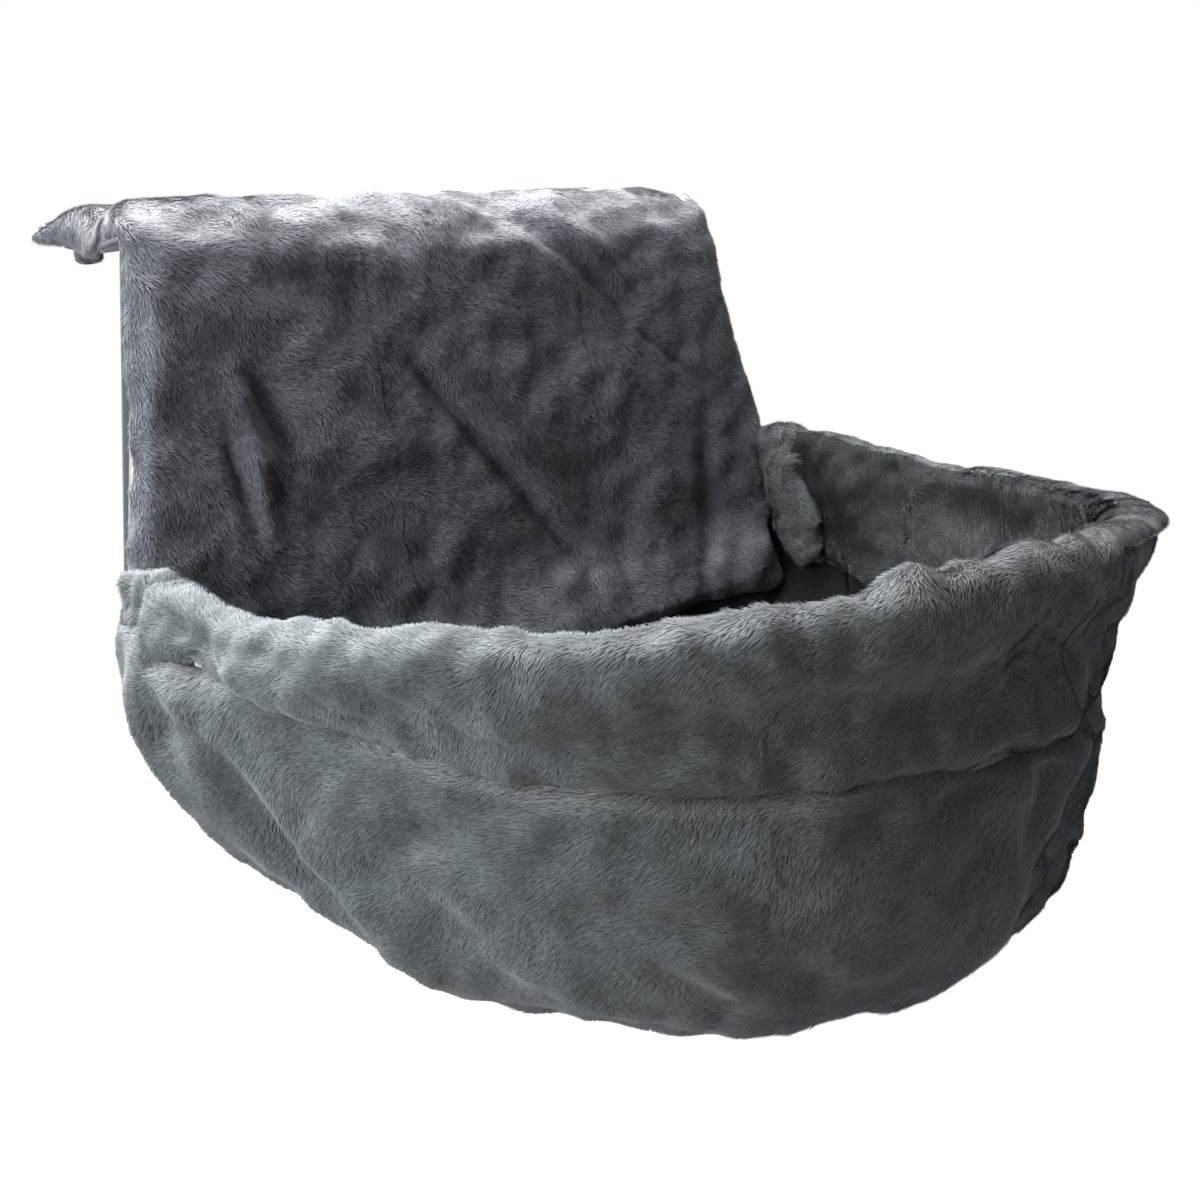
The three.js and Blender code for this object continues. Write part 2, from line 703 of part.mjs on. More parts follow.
// Folds and creases of the pouch: place and drop at one end, then at the other, and the height.
// Places are shares of the hoop's curve, drops of the pouch's depth and heights of foldHeight.
const foldShares = [
  [0.035, 0.2, 0.1, 0.74, -1],
  [0.055, 0.22, 0.13, 0.77, 0.7],
  [0.125, 0.4, 0.2, 0.68, 0.5],
  [0.26, 0.49, 0.43, 0.5, 0.45],
  [0.24, 0.62, 0.36, 0.6, -0.4],
  [0.44, 0.44, 0.49, 0.4, -0.6],
  [0.545, 0.36, 0.52, 0.66, 0.5],
  [0.505, 0.45, 0.48, 0.76, 0.5],
  [0.665, 0.57, 0.64, 0.82, -0.6],
  [0.76, 0.42, 0.71, 0.75, 0.5],
  [0.84, 0.4, 0.79, 0.7, -0.6],
  [0.945, 0.24, 0.88, 0.77, 0.7],
  [0.965, 0.22, 0.91, 0.74, -0.9],
];
const shoulder = -(bandHeight + pouchOuterWall); // one level all round, under the band

// Distance from (u, v) to the line from (a, b) to (c, d)
function lineDistance(u, v, a, b, c, d) {
  const run = (c - a) ** 2 + (d - b) ** 2;
  const share = Math.min(1, Math.max(0, ((u - a) * (c - a) + (v - b) * (d - b)) / run));
  return Math.hypot(u - a - share * (c - a), v - b - share * (d - b));
}

// How far the wall is folded out at a station and a height of the layer with that inset
function foldAt(station, z, inset) {
  if (station.kind !== "band") return 0;
  const below = Math.max(0, shoulder - z) / (pouchDepth + shoulder - inset);
  const drop = Math.min(-z, -shoulder) + below * (pouchDepth + shoulder);
  let height = 0;
  for (const [place, start, endPlace, end, share] of foldShares) {
    const line = [place * curveLength, start * pouchDepth, endPlace * curveLength, end * pouchDepth];
    const distance = lineDistance(station.run, drop, ...line);
    height += share * foldHeight * Math.exp(-((distance / foldWidth) ** 2));
  }
  return height * smooth((seamHeight(station) - z) / foldFade);
}

// How near a station is to the panel, from 0 to 1
const nearShare = (station) => Math.exp(-((aheadOf(station) / cornerRun) ** 2));

function wallDraw(station) {
  return rearDraw + (frontDraw - rearDraw) * Math.min(1, Math.max(0, aheadOf(station) / drawRun));
}

// The surface's point at a station and a height, drawn in by inset and set back by pleat
function wallPoint(station, z, inset, pleat = 0) {
  const rim = rimHeight(station);
  const start = station.kind === "rear" ? rearDraw : rimDraw;
  const share = smooth((rim - z) / (rim + drawLevel));
  const out = start + (wallDraw(station) - start) * share - inset;
  const near = nearShare(station);
  const ease = smooth((cornerY - station.y) / cornerEase) * smooth((bulgeTop - z) / bulgeFall);
  const swollen = out + cornerBulge * near * ease;
  const fall = Math.min(1, Math.max(0, -z - closeLevel) / (pouchDepth - inset - closeLevel));
  const rise = Math.asin(fall ** (depthSquareness / 2));
  const squareness = wallSquareness + (cornerSquareness - wallSquareness) * near;
  const rearward = station.y > lowestY ? cornerSquareness : wallSquareness;
  const shrinkX = Math.cos(rise) ** (2 / squareness);
  const shrinkY = Math.cos(rise) ** (2 / rearward);
  const folded = (foldAt(station, z, inset) + pleat) * Math.cos(rise);
  const dropped = (foldAt(station, z, inset) + pleat) * Math.sin(rise);
  const x = (station.x + station.nx * swollen) * shrinkX;
  const y = lowestY + (station.y + station.ny * swollen - lowestY) * shrinkY;
  return [x + station.nx * folded, y + station.ny * folded, z - dropped];
}

const panelFoot = -panelDrop - looseGap;
const hingeTop = pivotZ - hingeRoom;

function outerTop(station) {
  if (station.kind === "rear") return panelFoot - edgeStep;
  return station.kind === "hinge" ? hingeTop - edgeStep : seamHeight(station) - looseGap;
}

function innerTop(station) {
  if (station.kind === "rear") return panelFoot;
  return station.kind === "hinge" ? hingeTop : rimHeight(station) - wallTopDrop - looseGap;
}

function shellGeometry(positions, index) {
  const geometry = new THREE.BufferGeometry();
  geometry.setAttribute("position", new THREE.Float32BufferAttribute(positions.flat(), 3));
  geometry.setIndex(index);
  geometry.computeVertexNormals();
  return geometry;
}

const upperRows = 3; // between the roll and the band's seam
const closingRows = 7; // from the shoulder to the lowest point
const cornerLevel = -(panelDrop + rollRadius); // one level round the rear corners
const cornerSteps = 2;

// Even steps from one height towards another, without the last
function spread(from, to, count) {
  return Array.from({ length: count }, (_, i) => from + ((to - from) * i) / count);
}

// Heights between the roll and the band's seam
const upperHeights = (station) => spread(innerTop(station), outerTop(station), upperRows);

// The heights of a layer's rows at one station. Every layer follows the outer wall's rows,
// and above them an inner layer also runs up under the roll.
function rowHeights(station, inset, inner) {
  const top = outerTop(station);
  const bottom = -(pouchDepth - inset);
  const middle =
    station.kind === "band"
      ? spread(top, shoulder, cornerSteps + 1)
      : [...spread(top, cornerLevel, cornerSteps), cornerLevel];
  const closing = Array.from({ length: closingRows }, (_, row) => {
    return shoulder + (bottom - shoulder) * Math.sin((Math.PI * row) / (2 * closingRows));
  });
  return [...(inner ? upperHeights(station) : []), ...middle, ...closing];
}

// How deep the furrow between two pleats is: every second station lies in one
function pleatAt(station, z) {
  if (station.kind !== "band" || station.pleat === 0) return 0;
  const under = innerTop(station) - z;
  return pleatDepth * smooth(under / pleatFade) * smooth((pouchDepth + z) / (pouchDepth + shoulder));
}

// A closed bag layer between two insets, open above
function bagLayer(outerInset, innerInset, inner, pleated = false) {
  const count = stations.length;
  const rows = rowHeights(stations[0], outerInset, inner).length;
  const positions = [];
  const index = [];
  for (const inset of [outerInset, innerInset]) {
    const heights = stations.map((station) => rowHeights(station, inset, inner));
    for (let row = 0; row < rows; row++) {
      stations.forEach((station, i) => {
        const z = heights[i][row];
        const pleat = pleated && inset === innerInset ? pleatAt(station, z) : 0;
        positions.push(wallPoint(station, z, inset, pleat));
      });
    }
    positions.push([0, lowestY, -(pouchDepth - inset)]);
  }
  const skinSize = rows * count + 1;
  const at = (skin, row, i) => skin * skinSize + row * count + (i % count);
  for (let i = 0; i < count; i++) {
    for (let row = 0; row < rows - 1; row++) {
      index.push(at(0, row, i), at(0, row + 1, i), at(0, row + 1, i + 1));
      index.push(at(0, row, i), at(0, row + 1, i + 1), at(0, row, i + 1));
      index.push(at(1, row, i), at(1, row + 1, i + 1), at(1, row + 1, i));
      index.push(at(1, row, i), at(1, row, i + 1), at(1, row + 1, i + 1));
    }
    index.push(at(0, rows - 1, i), skinSize - 1, at(0, rows - 1, i + 1));
    index.push(at(1, rows - 1, i), at(1, rows - 1, i + 1), 2 * skinSize - 1);
    index.push(at(0, 0, i), at(0, 0, i + 1), at(1, 0, i + 1));
    index.push(at(0, 0, i), at(1, 0, i + 1), at(1, 0, i));
  }
  return shellGeometry(positions, index);
}

const paddingInset = pouchOuterWall + layerGap;
const liningInset = paddingInset + pouchPaddingWall + layerGap;
add("pouch_outer", bagLayer(0, pouchOuterWall, false), plush);
add("pouch_padding", bagLayer(paddingInset, paddingInset + pouchPaddingWall, true), wadding);
add("pouch_lining", bagLayer(liningInset, liningInset + pouchLiningWall, true, true), plush);

// Rim band: a roll over the hoop with a wide outer leg down to its seam

const rollSteps = 9;
const hollowSteps = 5;

function bandSection(station) {
  const rim = rimHeight(station);
  const hollow = rodRadius + rollSlack;
  const place = (out, z) => [station.x + station.nx * out, station.y + station.ny * out, z];
  const arc = (radius, from, to, steps) =>
    Array.from({ length: steps + 1 }, (_, i) => {
      const turn = from + ((to - from) * i) / steps;
      return place(radius * Math.cos(turn), rim + radius * Math.sin(turn));
    });
  const legHeights = [...upperHeights(station), seamHeight(station)];
  const leg = (inset) => legHeights.map((z) => wallPoint(station, z, inset));
  return [
    ...leg(-bandProud).reverse(),
    ...arc(rollRadius, 0, Math.PI, rollSteps),
    place(-rollRadius, rim - wallTopDrop),
    place(-hollow, rim - wallTopDrop),
    ...arc(hollow, Math.PI, 0, hollowSteps),
    ...leg(pouchOuterWall),
  ];
}

function makeBand() {
  const first = { ...curved[0], y: bandStartY };
  const last = { ...curved[curved.length - 1], y: bandStartY };
  const course = [first, ...curved.slice(1, -1), last];
  const sections = course.map(bandSection);
  const size = sections[0].length;
  const positions = sections.flat();
  const index = [];
  for (let i = 0; i < course.length - 1; i++) {
    for (let k = 0; k < size; k++) {
      const next = (k + 1) % size;
      const a = i * size + k;
      const b = i * size + next;
      const c = (i + 1) * size + next;
      const d = (i + 1) * size + k;
      index.push(a, c, b, a, d, c);
    }
  }
  const flat = sections[0].map(([x, , z]) => new THREE.Vector2(-x, z));
  const far = (course.length - 1) * size;
  for (const [a, b, c] of THREE.ShapeUtils.triangulateShape(flat, [])) {
    index.push(a, b, c);
    index.push(far + a, far + c, far + b);
  }
  return shellGeometry(positions, index);
}

add("rim_band", makeBand(), plushLight);

// The part's origin: the middle of the flap's underside, where it rests on the radiator's top

bed.position.set(0, -restDepth, -flapUnderside);

const part = new THREE.Group();
part.add(bed);

export default part;
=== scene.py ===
# A radiator cat bed dressed in grey plush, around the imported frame. Metres, +Z up, front towards -Y.
import json
import math

import bmesh
import bpy
import numpy as np
from mathutils import Matrix, Vector


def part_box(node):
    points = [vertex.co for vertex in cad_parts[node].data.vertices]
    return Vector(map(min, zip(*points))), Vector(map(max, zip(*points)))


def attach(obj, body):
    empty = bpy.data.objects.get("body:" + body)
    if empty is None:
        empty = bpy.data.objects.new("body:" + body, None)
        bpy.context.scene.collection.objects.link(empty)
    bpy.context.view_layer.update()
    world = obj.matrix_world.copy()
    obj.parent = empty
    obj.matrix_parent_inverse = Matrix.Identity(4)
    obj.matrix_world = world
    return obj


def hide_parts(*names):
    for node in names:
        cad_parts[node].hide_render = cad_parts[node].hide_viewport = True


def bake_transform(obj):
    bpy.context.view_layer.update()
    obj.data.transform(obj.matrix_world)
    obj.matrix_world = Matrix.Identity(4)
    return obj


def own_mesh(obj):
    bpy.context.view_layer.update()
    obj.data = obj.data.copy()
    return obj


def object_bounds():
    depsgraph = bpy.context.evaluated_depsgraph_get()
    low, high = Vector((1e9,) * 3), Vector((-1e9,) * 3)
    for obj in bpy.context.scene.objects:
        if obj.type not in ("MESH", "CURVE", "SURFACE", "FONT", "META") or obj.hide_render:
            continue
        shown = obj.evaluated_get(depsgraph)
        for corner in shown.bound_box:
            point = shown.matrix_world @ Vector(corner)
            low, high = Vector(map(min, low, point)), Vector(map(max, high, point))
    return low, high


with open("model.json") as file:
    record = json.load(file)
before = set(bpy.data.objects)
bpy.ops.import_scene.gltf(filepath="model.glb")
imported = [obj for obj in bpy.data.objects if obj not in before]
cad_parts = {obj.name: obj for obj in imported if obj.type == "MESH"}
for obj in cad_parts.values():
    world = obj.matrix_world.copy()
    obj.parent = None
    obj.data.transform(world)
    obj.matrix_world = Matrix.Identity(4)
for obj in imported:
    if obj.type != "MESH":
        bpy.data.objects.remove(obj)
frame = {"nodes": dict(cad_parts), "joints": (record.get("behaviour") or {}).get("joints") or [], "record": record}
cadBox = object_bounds()
mm = 0.001

# The camera stands where the photograph was taken from
photoCamera = {
    "azimuth": -37.21,  # degrees round the bed
    "elevation": 10.76,
    "roll": -7.71,
    "distance": 0.6761,
    "target": (-0.0206, -0.1488, -0.2033),
    "frameSide": 1200,  # pixels
    "focalPixels": 1295.35,
    "centrePixels": (-15.71, -9.68),  # the lens axis from the middle of the frame
    "sensor": 36,
}


def cameraAxes():
    azimuth, elevation, roll = (math.radians(photoCamera[k]) for k in ("azimuth", "elevation", "roll"))
    level = math.cos(elevation)
    back = np.array([math.sin(azimuth) * level, -math.cos(azimuth) * level, math.sin(elevation)])
    right = np.cross([0, 0, 1], back)
    right /= np.linalg.norm(right)
    up = np.cross(back, right)
    tilt, lean = math.cos(roll), math.sin(roll)
    return tilt * right + lean * up, -lean * right + tilt * up, back


def addObject(name, data):
    thing = bpy.data.objects.new(name, data)
    bpy.context.scene.collection.objects.link(thing)
    return thing


def makeCamera():
    right, up, back = cameraAxes()
    place = np.array(photoCamera["target"]) + photoCamera["distance"] * back
    side = photoCamera["frameSide"]
    data = bpy.data.cameras.new("photoCamera")
    data.sensor_width = photoCamera["sensor"]
    data.lens = photoCamera["focalPixels"] / side * photoCamera["sensor"]
    data.shift_x = -photoCamera["centrePixels"][0] / side
    data.shift_y = photoCamera["centrePixels"][1] / side
    data.clip_start = 0.01
    camera = addObject("photoCamera", data)
    camera.matrix_world = Matrix([[right[i], up[i], back[i], place[i]] for i in range(3)] + [[0, 0, 0, 1]])
    bpy.context.scene.camera = camera


def pixelsOf(points):
    right, up, back = cameraAxes()
    place = np.array(photoCamera["target"]) + photoCamera["distance"] * back
    away = points - place
    depth = -(away @ back)
    middle = photoCamera["frameSide"] / 2
    across = middle + photoCamera["centrePixels"][0] + photoCamera["focalPixels"] * (away @ right) / depth
    down = middle + photoCamera["centrePixels"][1] - photoCamera["focalPixels"] * (away @ up) / depth
    return np.stack([across, down], 1), depth


makeCamera()
print("camera set")

# Node trees: one function adds a node with its settings, values and links


def addNode(tree, kind, settings=None, inputs=None):
    node = tree.nodes.new(kind)
    for name, value in (settings or {}).items():
        setattr(node, name, value)
    for name, value in (inputs or {}).items():
        socket = node.inputs[name]
        if isinstance(value, bpy.types.NodeSocket):
            tree.links.new(value, socket)
        else:
            socket.default_value = value
    return node


def colour(text):
    values = [int(text[i : i + 2], 16) / 255 for i in (1, 3, 5)]
    return [v / 12.92 if v <= 0.04045 else ((v + 0.055) / 1.055) ** 2.4 for v in values] + [1]


def newMaterial(name, **values):
    material = bpy.data.materials.new(name)
    material.use_nodes = True
    tree = material.node_tree
    tree.nodes.clear()
    plain = {key.replace("_", " "): value for key, value in values.items()}
    shader = addNode(tree, "ShaderNodeBsdfPrincipled", inputs=plain)
    addNode(tree, "ShaderNodeOutputMaterial", inputs={"Surface": shader.outputs[0]})
    return material, tree, shader


def perMetre(size):
    return 1 / size


# Spots in two colours, as large as the size says
def addSpots(tree, shader, size, detail, low, high):
    place = addNode(tree, "ShaderNodeTexCoord").outputs["Object"]
    noise = {"Vector": place, "Scale": perMetre(size), "Detail": detail}
    spots = addNode(tree, "ShaderNodeTexNoise", inputs=noise).outputs["Fac"]
    shades = {0: spots, 6: colour(low), 7: colour(high)}
    mixed = addNode(tree, "ShaderNodeMix", {"data_type": "RGBA"}, shades).outputs[2]
    tree.links.new(mixed, shader.inputs["Base Color"])
    return spots


# Polyester plush: matt and soft, uneven where the nap turns; painted shade darkens the fibres' roots, and a
# painted highlight turns the tips pale where the cloth faces up towards the lamps
plushShades = {
    "fibre": 0.4,  # how much one fibre differs from the next
    "spots": [(46 * mm, 1.0), (13 * mm, 0.7), (3.2 * mm, 0.7)],  # size and share: patches, mottling, tufts
    "darkest": 0.9,
    "lightest": 1.9,
}


def makePlush(name, rootShade, dark, light, highlightColour, sheen=0.55):
    material, tree, shader = newMaterial(name, Roughness=0.8, Specular_IOR_Level=0.2, Sheen_Weight=sheen)
    shader.inputs["Sheen Roughness"].default_value = 0.4
    shader.inputs["Sheen Tint"].default_value = colour("#e4e9ec")
    place = addNode(tree, "ShaderNodeTexCoord").outputs["Object"]
    keys = ("shade", "paintedHighlight", "tip")
    marks = [addNode(tree, "ShaderNodeAttribute", {"attribute_name": key}).outputs["Fac"] for key in keys]
    fibre, paintedHighlight, tip = marks
    weighed = {0: fibre, 1: plushShades["fibre"]}
    total = addNode(tree, "ShaderNodeMath", {"operation": "MULTIPLY"}, weighed).outputs[0]
    for size, share in plushShades["spots"]:
        noise = {"Vector": place, "Scale": perMetre(size), "Detail": 2.0}
        spots = addNode(tree, "ShaderNodeTexNoise", inputs=noise).outputs["Fac"]
        added = {0: spots, 1: share, 2: total}
        total = addNode(tree, "ShaderNodeMath", {"operation": "MULTIPLY_ADD"}, added).outputs[0]
    span = {"Value": total, "From Min": plushShades["darkest"], "From Max": plushShades["lightest"]}
    mixed = colour(dark)
    fromDark = addNode(tree, "ShaderNodeMapRange", inputs=span).outputs[0]
    # no colour stands for the mix so far
    # painted highlight: the tips take the highlight colour where the cloth faces up; painted shade: the root
    # colour darkens the roots
    mixes = [(fromDark, None, colour(light)), (paintedHighlight, None, colour(highlightColour)), (tip, colour(rootShade), None)]
    for share, low, high in mixes:
        shades = {0: share, 6: low or mixed, 7: high or mixed}
        mixed = addNode(tree, "ShaderNodeMix", {"data_type": "RGBA"}, shades).outputs[2]
    tree.links.new(mixed, shader.inputs["Base Color"])
    return material


# Each plush: painted shade at the fibres' roots and on the cloth under them, dark and light tones, then a painted
# highlight for the tips
pouchPlush = makePlush("pouchPlush", "#393e41", "#464c4f", "#868e92", "#dfe5e7")
# The panel's plush: the same plush with a slight bluish tint, painted lighter to stand in for the light on the
# panel
panelPlush = makePlush("panelPlush", "#464a50", "#545960", "#9ca2aa", "#eef2f4")
# The lining's plush: the same plush painted darker and with less sheen, as painted shade inside the pouch
liningShadedPlush = makePlush("liningShadedPlush", "#121415", "#16181a", "#2d3134", "#74787b", 0.1)


# Woven polyester backing cloth: plain weave, dull, its threads drawn 1.3 mm apart so that they show
def makeBackingCloth():
    material, tree, shader = newMaterial("backingCloth", Roughness=0.8, Sheen_Weight=0.15)
    place = addNode(tree, "ShaderNodeTexCoord").outputs["Object"]
    # at a scale of 1 the wave node's waves lie pi / 10 apart
    waves = {"Vector": place, "Scale": perMetre(1.3 * mm) * math.pi / 10, "Distortion": 0.4, "Detail": 1.0}
    threads = []
    for way in ("X", "Z"):
        kind = {"wave_type": "BANDS", "bands_direction": way, "wave_profile": "SIN"}
        threads.append(addNode(tree, "ShaderNodeTexWave", kind, waves).outputs["Fac"])
    weave = addNode(tree, "ShaderNodeMath", {"operation": "MULTIPLY"}, dict(enumerate(threads))).outputs[0]
    noise = {"Vector": place, "Scale": perMetre(60 * mm), "Detail": 4.0}
    worn = addNode(tree, "ShaderNodeTexNoise", inputs=noise).outputs["Fac"]
    added = {0: worn, 1: 0.6, 2: weave}
    mixed = addNode(tree, "ShaderNodeMath", {"operation": "MULTIPLY_ADD"}, added).outputs[0]
    shades = {0: mixed, 6: colour("#2e3034"), 7: colour("#4b4e54")}
    cloth = addNode(tree, "ShaderNodeMix", {"data_type": "RGBA"}, shades).outputs[2]
    tree.links.new(cloth, shader.inputs["Base Color"])
    bump = addNode(tree, "ShaderNodeBump", inputs={"Height": weave, "Strength": 0.5, "Distance": 0.2 * mm})
    tree.links.new(bump.outputs[0], shader.inputs["Normal"])
    return material


backingCloth = makeBackingCloth()


# Zinc plated drawn steel wire: bright, with paler and duller spots
def makeWireSteel():
    material, tree, shader = newMaterial("zincPlatedSteel", Metallic=1)
    spots = addSpots(tree, shader, 7 * mm, 5.0, "#9da1a3", "#c9cccd")
    rough = addNode(tree, "ShaderNodeMapRange", inputs={"Value": spots, "To Min": 0.25, "To Max": 0.48})
    tree.links.new(rough.outputs[0], shader.inputs["Roughness"])
    return material


# Moulded plastic and coated metal: one colour with faint mottling and a fine skin
def makeMoulded(name, low, high, roughness, metallic=0.0, grain=2.5 * mm):
    material, tree, shader = newMaterial(name, Metallic=metallic, Roughness=roughness)
    spots = addSpots(tree, shader, grain, 4.0, low, high)
    bump = addNode(tree, "ShaderNodeBump", inputs={"Height": spots, "Strength": 0.15, "Distance": 0.1 * mm})
    tree.links.new(bump.outputs[0], shader.inputs["Normal"])
    return material


wireSteel = makeWireSteel()
naturalNylon = makeMoulded("naturalNylon", "#cfcec8", "#e0dfda", 0.42)
softVinyl = makeMoulded("softVinyl", "#1c1c1e", "#29292b", 0.62)
enamelledZinc = makeMoulded("enamelledZinc", "#3a3c40", "#4c4f54", 0.35, 1.0, 1.5 * mm)
zipCloth = makeMoulded("zipCloth", "#2b2e32", "#3d4045", 0.82, 0.0, 0.8 * mm)
coilNylon = makeMoulded("coilNylon", "#303338", "#45494f", 0.45)
stitchThread = makeMoulded("stitchThread", "#5c6066", "#7c8087", 0.75, 0.0, 0.5 * mm)
print("materials made")

# The bed's own sizes, read from the frame
hoopLow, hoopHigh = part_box("hoop_rod")
panelLow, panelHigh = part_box("back_panel_plush")
liningLow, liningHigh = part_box("back_lining")
foldJoint = next(joint for joint in frame["joints"] if joint["name"] == "frame_fold")
pivotY, pivotZ = foldJoint["pos_m"][1:]
rodRadius = 3 * mm
armX = hoopHigh.x - rodRadius
levelZ = hoopLow.z + rodRadius
frontY = hoopLow.y + rodRadius
rearY = next(m for m in frame["record"]["mounts"] if m["name"] == "radiator_front")["pos_m"][1]
faceY = panelLow.y
middleY = (faceY + rearY) / 2
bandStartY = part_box("rim_band")[1].y
hoopStartY = middleY - 11 * mm  # where the rim's cloth starts beside the panel

bag = {
    "straight": 38 * mm,  # straight start of the hoop's arms
    "squareness": 2.27,  # of the hoop's curve: 2 is an ellipse
    "riseRun": 100 * mm,  # over which the arms rise to the hinges
    "closeLevel": 25 * mm,  # this far under the hoop the bag starts to close
    "drawLevel": 40 * mm,
    "rimDraw": 10.5 * mm,  # how far the cloth stands out of the hoop at the rim
    "frontDraw": -11 * mm,  # and further down, at the front and at the rear
    "rearDraw": 7 * mm,
    "drawRun": 200 * mm,
    "lowestReach": 223 * mm,  # the lowest point lies this far before the panel
    "wallSquareness": 5.5,
    "cornerSquareness": 3,
    "depthSquareness": 2,
    "cornerBulge": 12 * mm,
    "cornerRun": 100 * mm,
    "cornerEase": 30 * mm,
    "bulgeTop": 10 * mm,
    "bulgeFall": 40 * mm,
    "corner": 13 * mm,
    "shoulder": 86 * mm,
    "hipPuff": 17 * mm,  # the pouch swells behind the hoop's ends
    "hipAhead": 26 * mm,
    "hipRun": 45 * mm,
    "hipDrop": 52 * mm,
    "hipHeight": 42 * mm,
    "pile": 1.8 * mm,  # the cloth lies this far under the pile's tips
}
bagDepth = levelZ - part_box("pouch_outer")[0].z
lowestY = middleY - bag["lowestReach"]
rearLineY = rearY - 0.3 * mm - bag["rearDraw"]
cornerY = rearLineY - bag["corner"]
flapRise = 8 * mm  # of the flap's rear edge
flapKnee = rearY + 48 * mm
flapTop = panelHigh.z - flapRise


def smooth(share):
    t = np.clip(share, 0, 1)
    return t * t * (3 - 2 * t)


def softNoise(points, size, seed, waves=28):
    dice = np.random.default_rng(seed)
    ways = dice.normal(size=(waves, 3))
    ways /= np.linalg.norm(ways, axis=1)[:, None]
    lengths = size * dice.uniform(0.7, 1.5, waves)
    starts = dice.uniform(0, 2 * math.pi, waves)
    turns = points @ (ways * (2 * math.pi / lengths)[:, None]).T + starts
    return np.sin(turns).sum(1) / math.sqrt(waves / 2)


def pathLengths(path):
    return np.concatenate([[0], np.cumsum(np.linalg.norm(np.diff(path, axis=0), axis=1))])


def alongPath(places, lengths, path):
    return np.stack([np.interp(places, lengths, path[:, i]) for i in (0, 1)], 1)


# Thickness near a rounded edge, at shares of the way in from it
def rounded(share, least=0.0):
    return np.sqrt(np.clip(1 - (1 - np.clip(share, 0, 1)) ** 2, least, 1))


# A sum of soft noises, each with its height, size and seed
def wrinkled(points, noises):
    return sum(height * softNoise(points, size, seed) for height, size, seed in noises)


# The bag's plan: the two arms, the hoop's curve and the line behind the panel's foot
def planCurve(count):
    reach = middleY - bag["straight"] - frontY
    angles = np.linspace(0, math.pi, 721)
    power = 2 / bag["squareness"]
    arcX = -armX * np.sign(np.cos(angles)) * np.abs(np.cos(angles)) ** power
    arcY = middleY - bag["straight"] - reach * np.abs(np.sin(angles)) ** power
    turns = np.linspace(0, math.pi / 2, 24)
    cornerX = armX - bag["corner"] + bag["corner"] * np.cos(turns)
    cornerDepth = cornerY + bag["corner"] * np.sin(turns)
    arc, corner = np.stack([arcX, arcY], 1), np.stack([cornerX, cornerDepth], 1)
    closed = np.vstack([arc, corner, (corner * [-1, 1])[::-1], arc[:1]])
    lengths = pathLengths(closed)
    places = np.arange(count) / count * lengths[-1]
    points = alongPath(places, lengths, closed)
    along = np.roll(points, -1, 0) - np.roll(points, 1, 0)
    along /= np.linalg.norm(along, axis=1)[:, None]
    hoopLength = lengths[len(arcX) - 1]
    lead = bag["straight"] - middleY + hoopStartY
    fromStart = np.where(places > (hoopLength + lengths[-1]) / 2, places - lengths[-1] + lead, places + lead)
    return {
        "x": points[:, 0],
        "y": points[:, 1],
        "nx": along[:, 1],
        "ny": -along[:, 0],
        "behind": smooth((points[:, 1] - cornerY) / bag["corner"]),
        "share": fromStart / (hoopLength + 2 * lead),
        "turn": np.interp(places, lengths[: len(arcX)], angles),
    }


# Height of the roll's top over the hoop's rod, in mm, at shares of the way round the hoop
rollTops = [
    (0, 6), (0.03, 6), (0.06, 9), (0.077, 14), (0.117, 15), (0.153, 13), (0.22, 12.5), (0.252, 11),
    (0.282, 9.5), (0.31, 8.5), (0.364, 9.5), (0.389, 11), (0.44, 15.5), (0.468, 12.5), (0.532, 12.5),
    (0.56, 11), (0.585, 9.5), (0.611, 8.5), (0.636, 6), (0.663, 5.2), (0.748, 5.2), (0.77, 7), (0.8, 7.5),
    (0.82, 7), (0.835, 6.5), (0.85, 17), (0.87, 20.5), (0.9, 21.5), (0.923, 20), (0.96, 15), (1, 11),
]


# A table's values in metres, blurred over a run of shares
def fromTable(table, shares, run, steps):
    places, values = zip(*table)
    gaps = np.linspace(-run, run, steps)
    return mm * np.mean([np.interp(shares + gap, places, values) for gap in gaps], axis=0)


def rollTop(share):
    return fromTable(rollTops, share, 0.02, 9)


def armHeight(y):
    return levelZ + (pivotZ - levelZ) * smooth((y - pivotY + bag["riseRun"]) / bag["riseRun"])


# Drop of the band's seam under the hoop's level, in mm, at the same shares
seamDrops = [
    (0, 8), (0.06, 9), (0.09, 12), (0.12, 20), (0.15, 31), (0.18, 41), (0.21, 46), (0.24, 52), (0.3, 57.5),
    (0.36, 62.5), (0.42, 64.5), (0.48, 70), (0.51, 72), (0.57, 73), (0.64, 70), (0.76, 55), (0.85, 32),
    (0.91, 14), (1, 8),
]


def seamLevel(plan):
    return levelZ - fromTable(seamDrops, plan["share"], 0.012, 5)


# The plan's values, repeated to fill an array of this shape
def widened(plan, shape):
    return {key: np.broadcast_to(values, shape) for key, values in plan.items()}


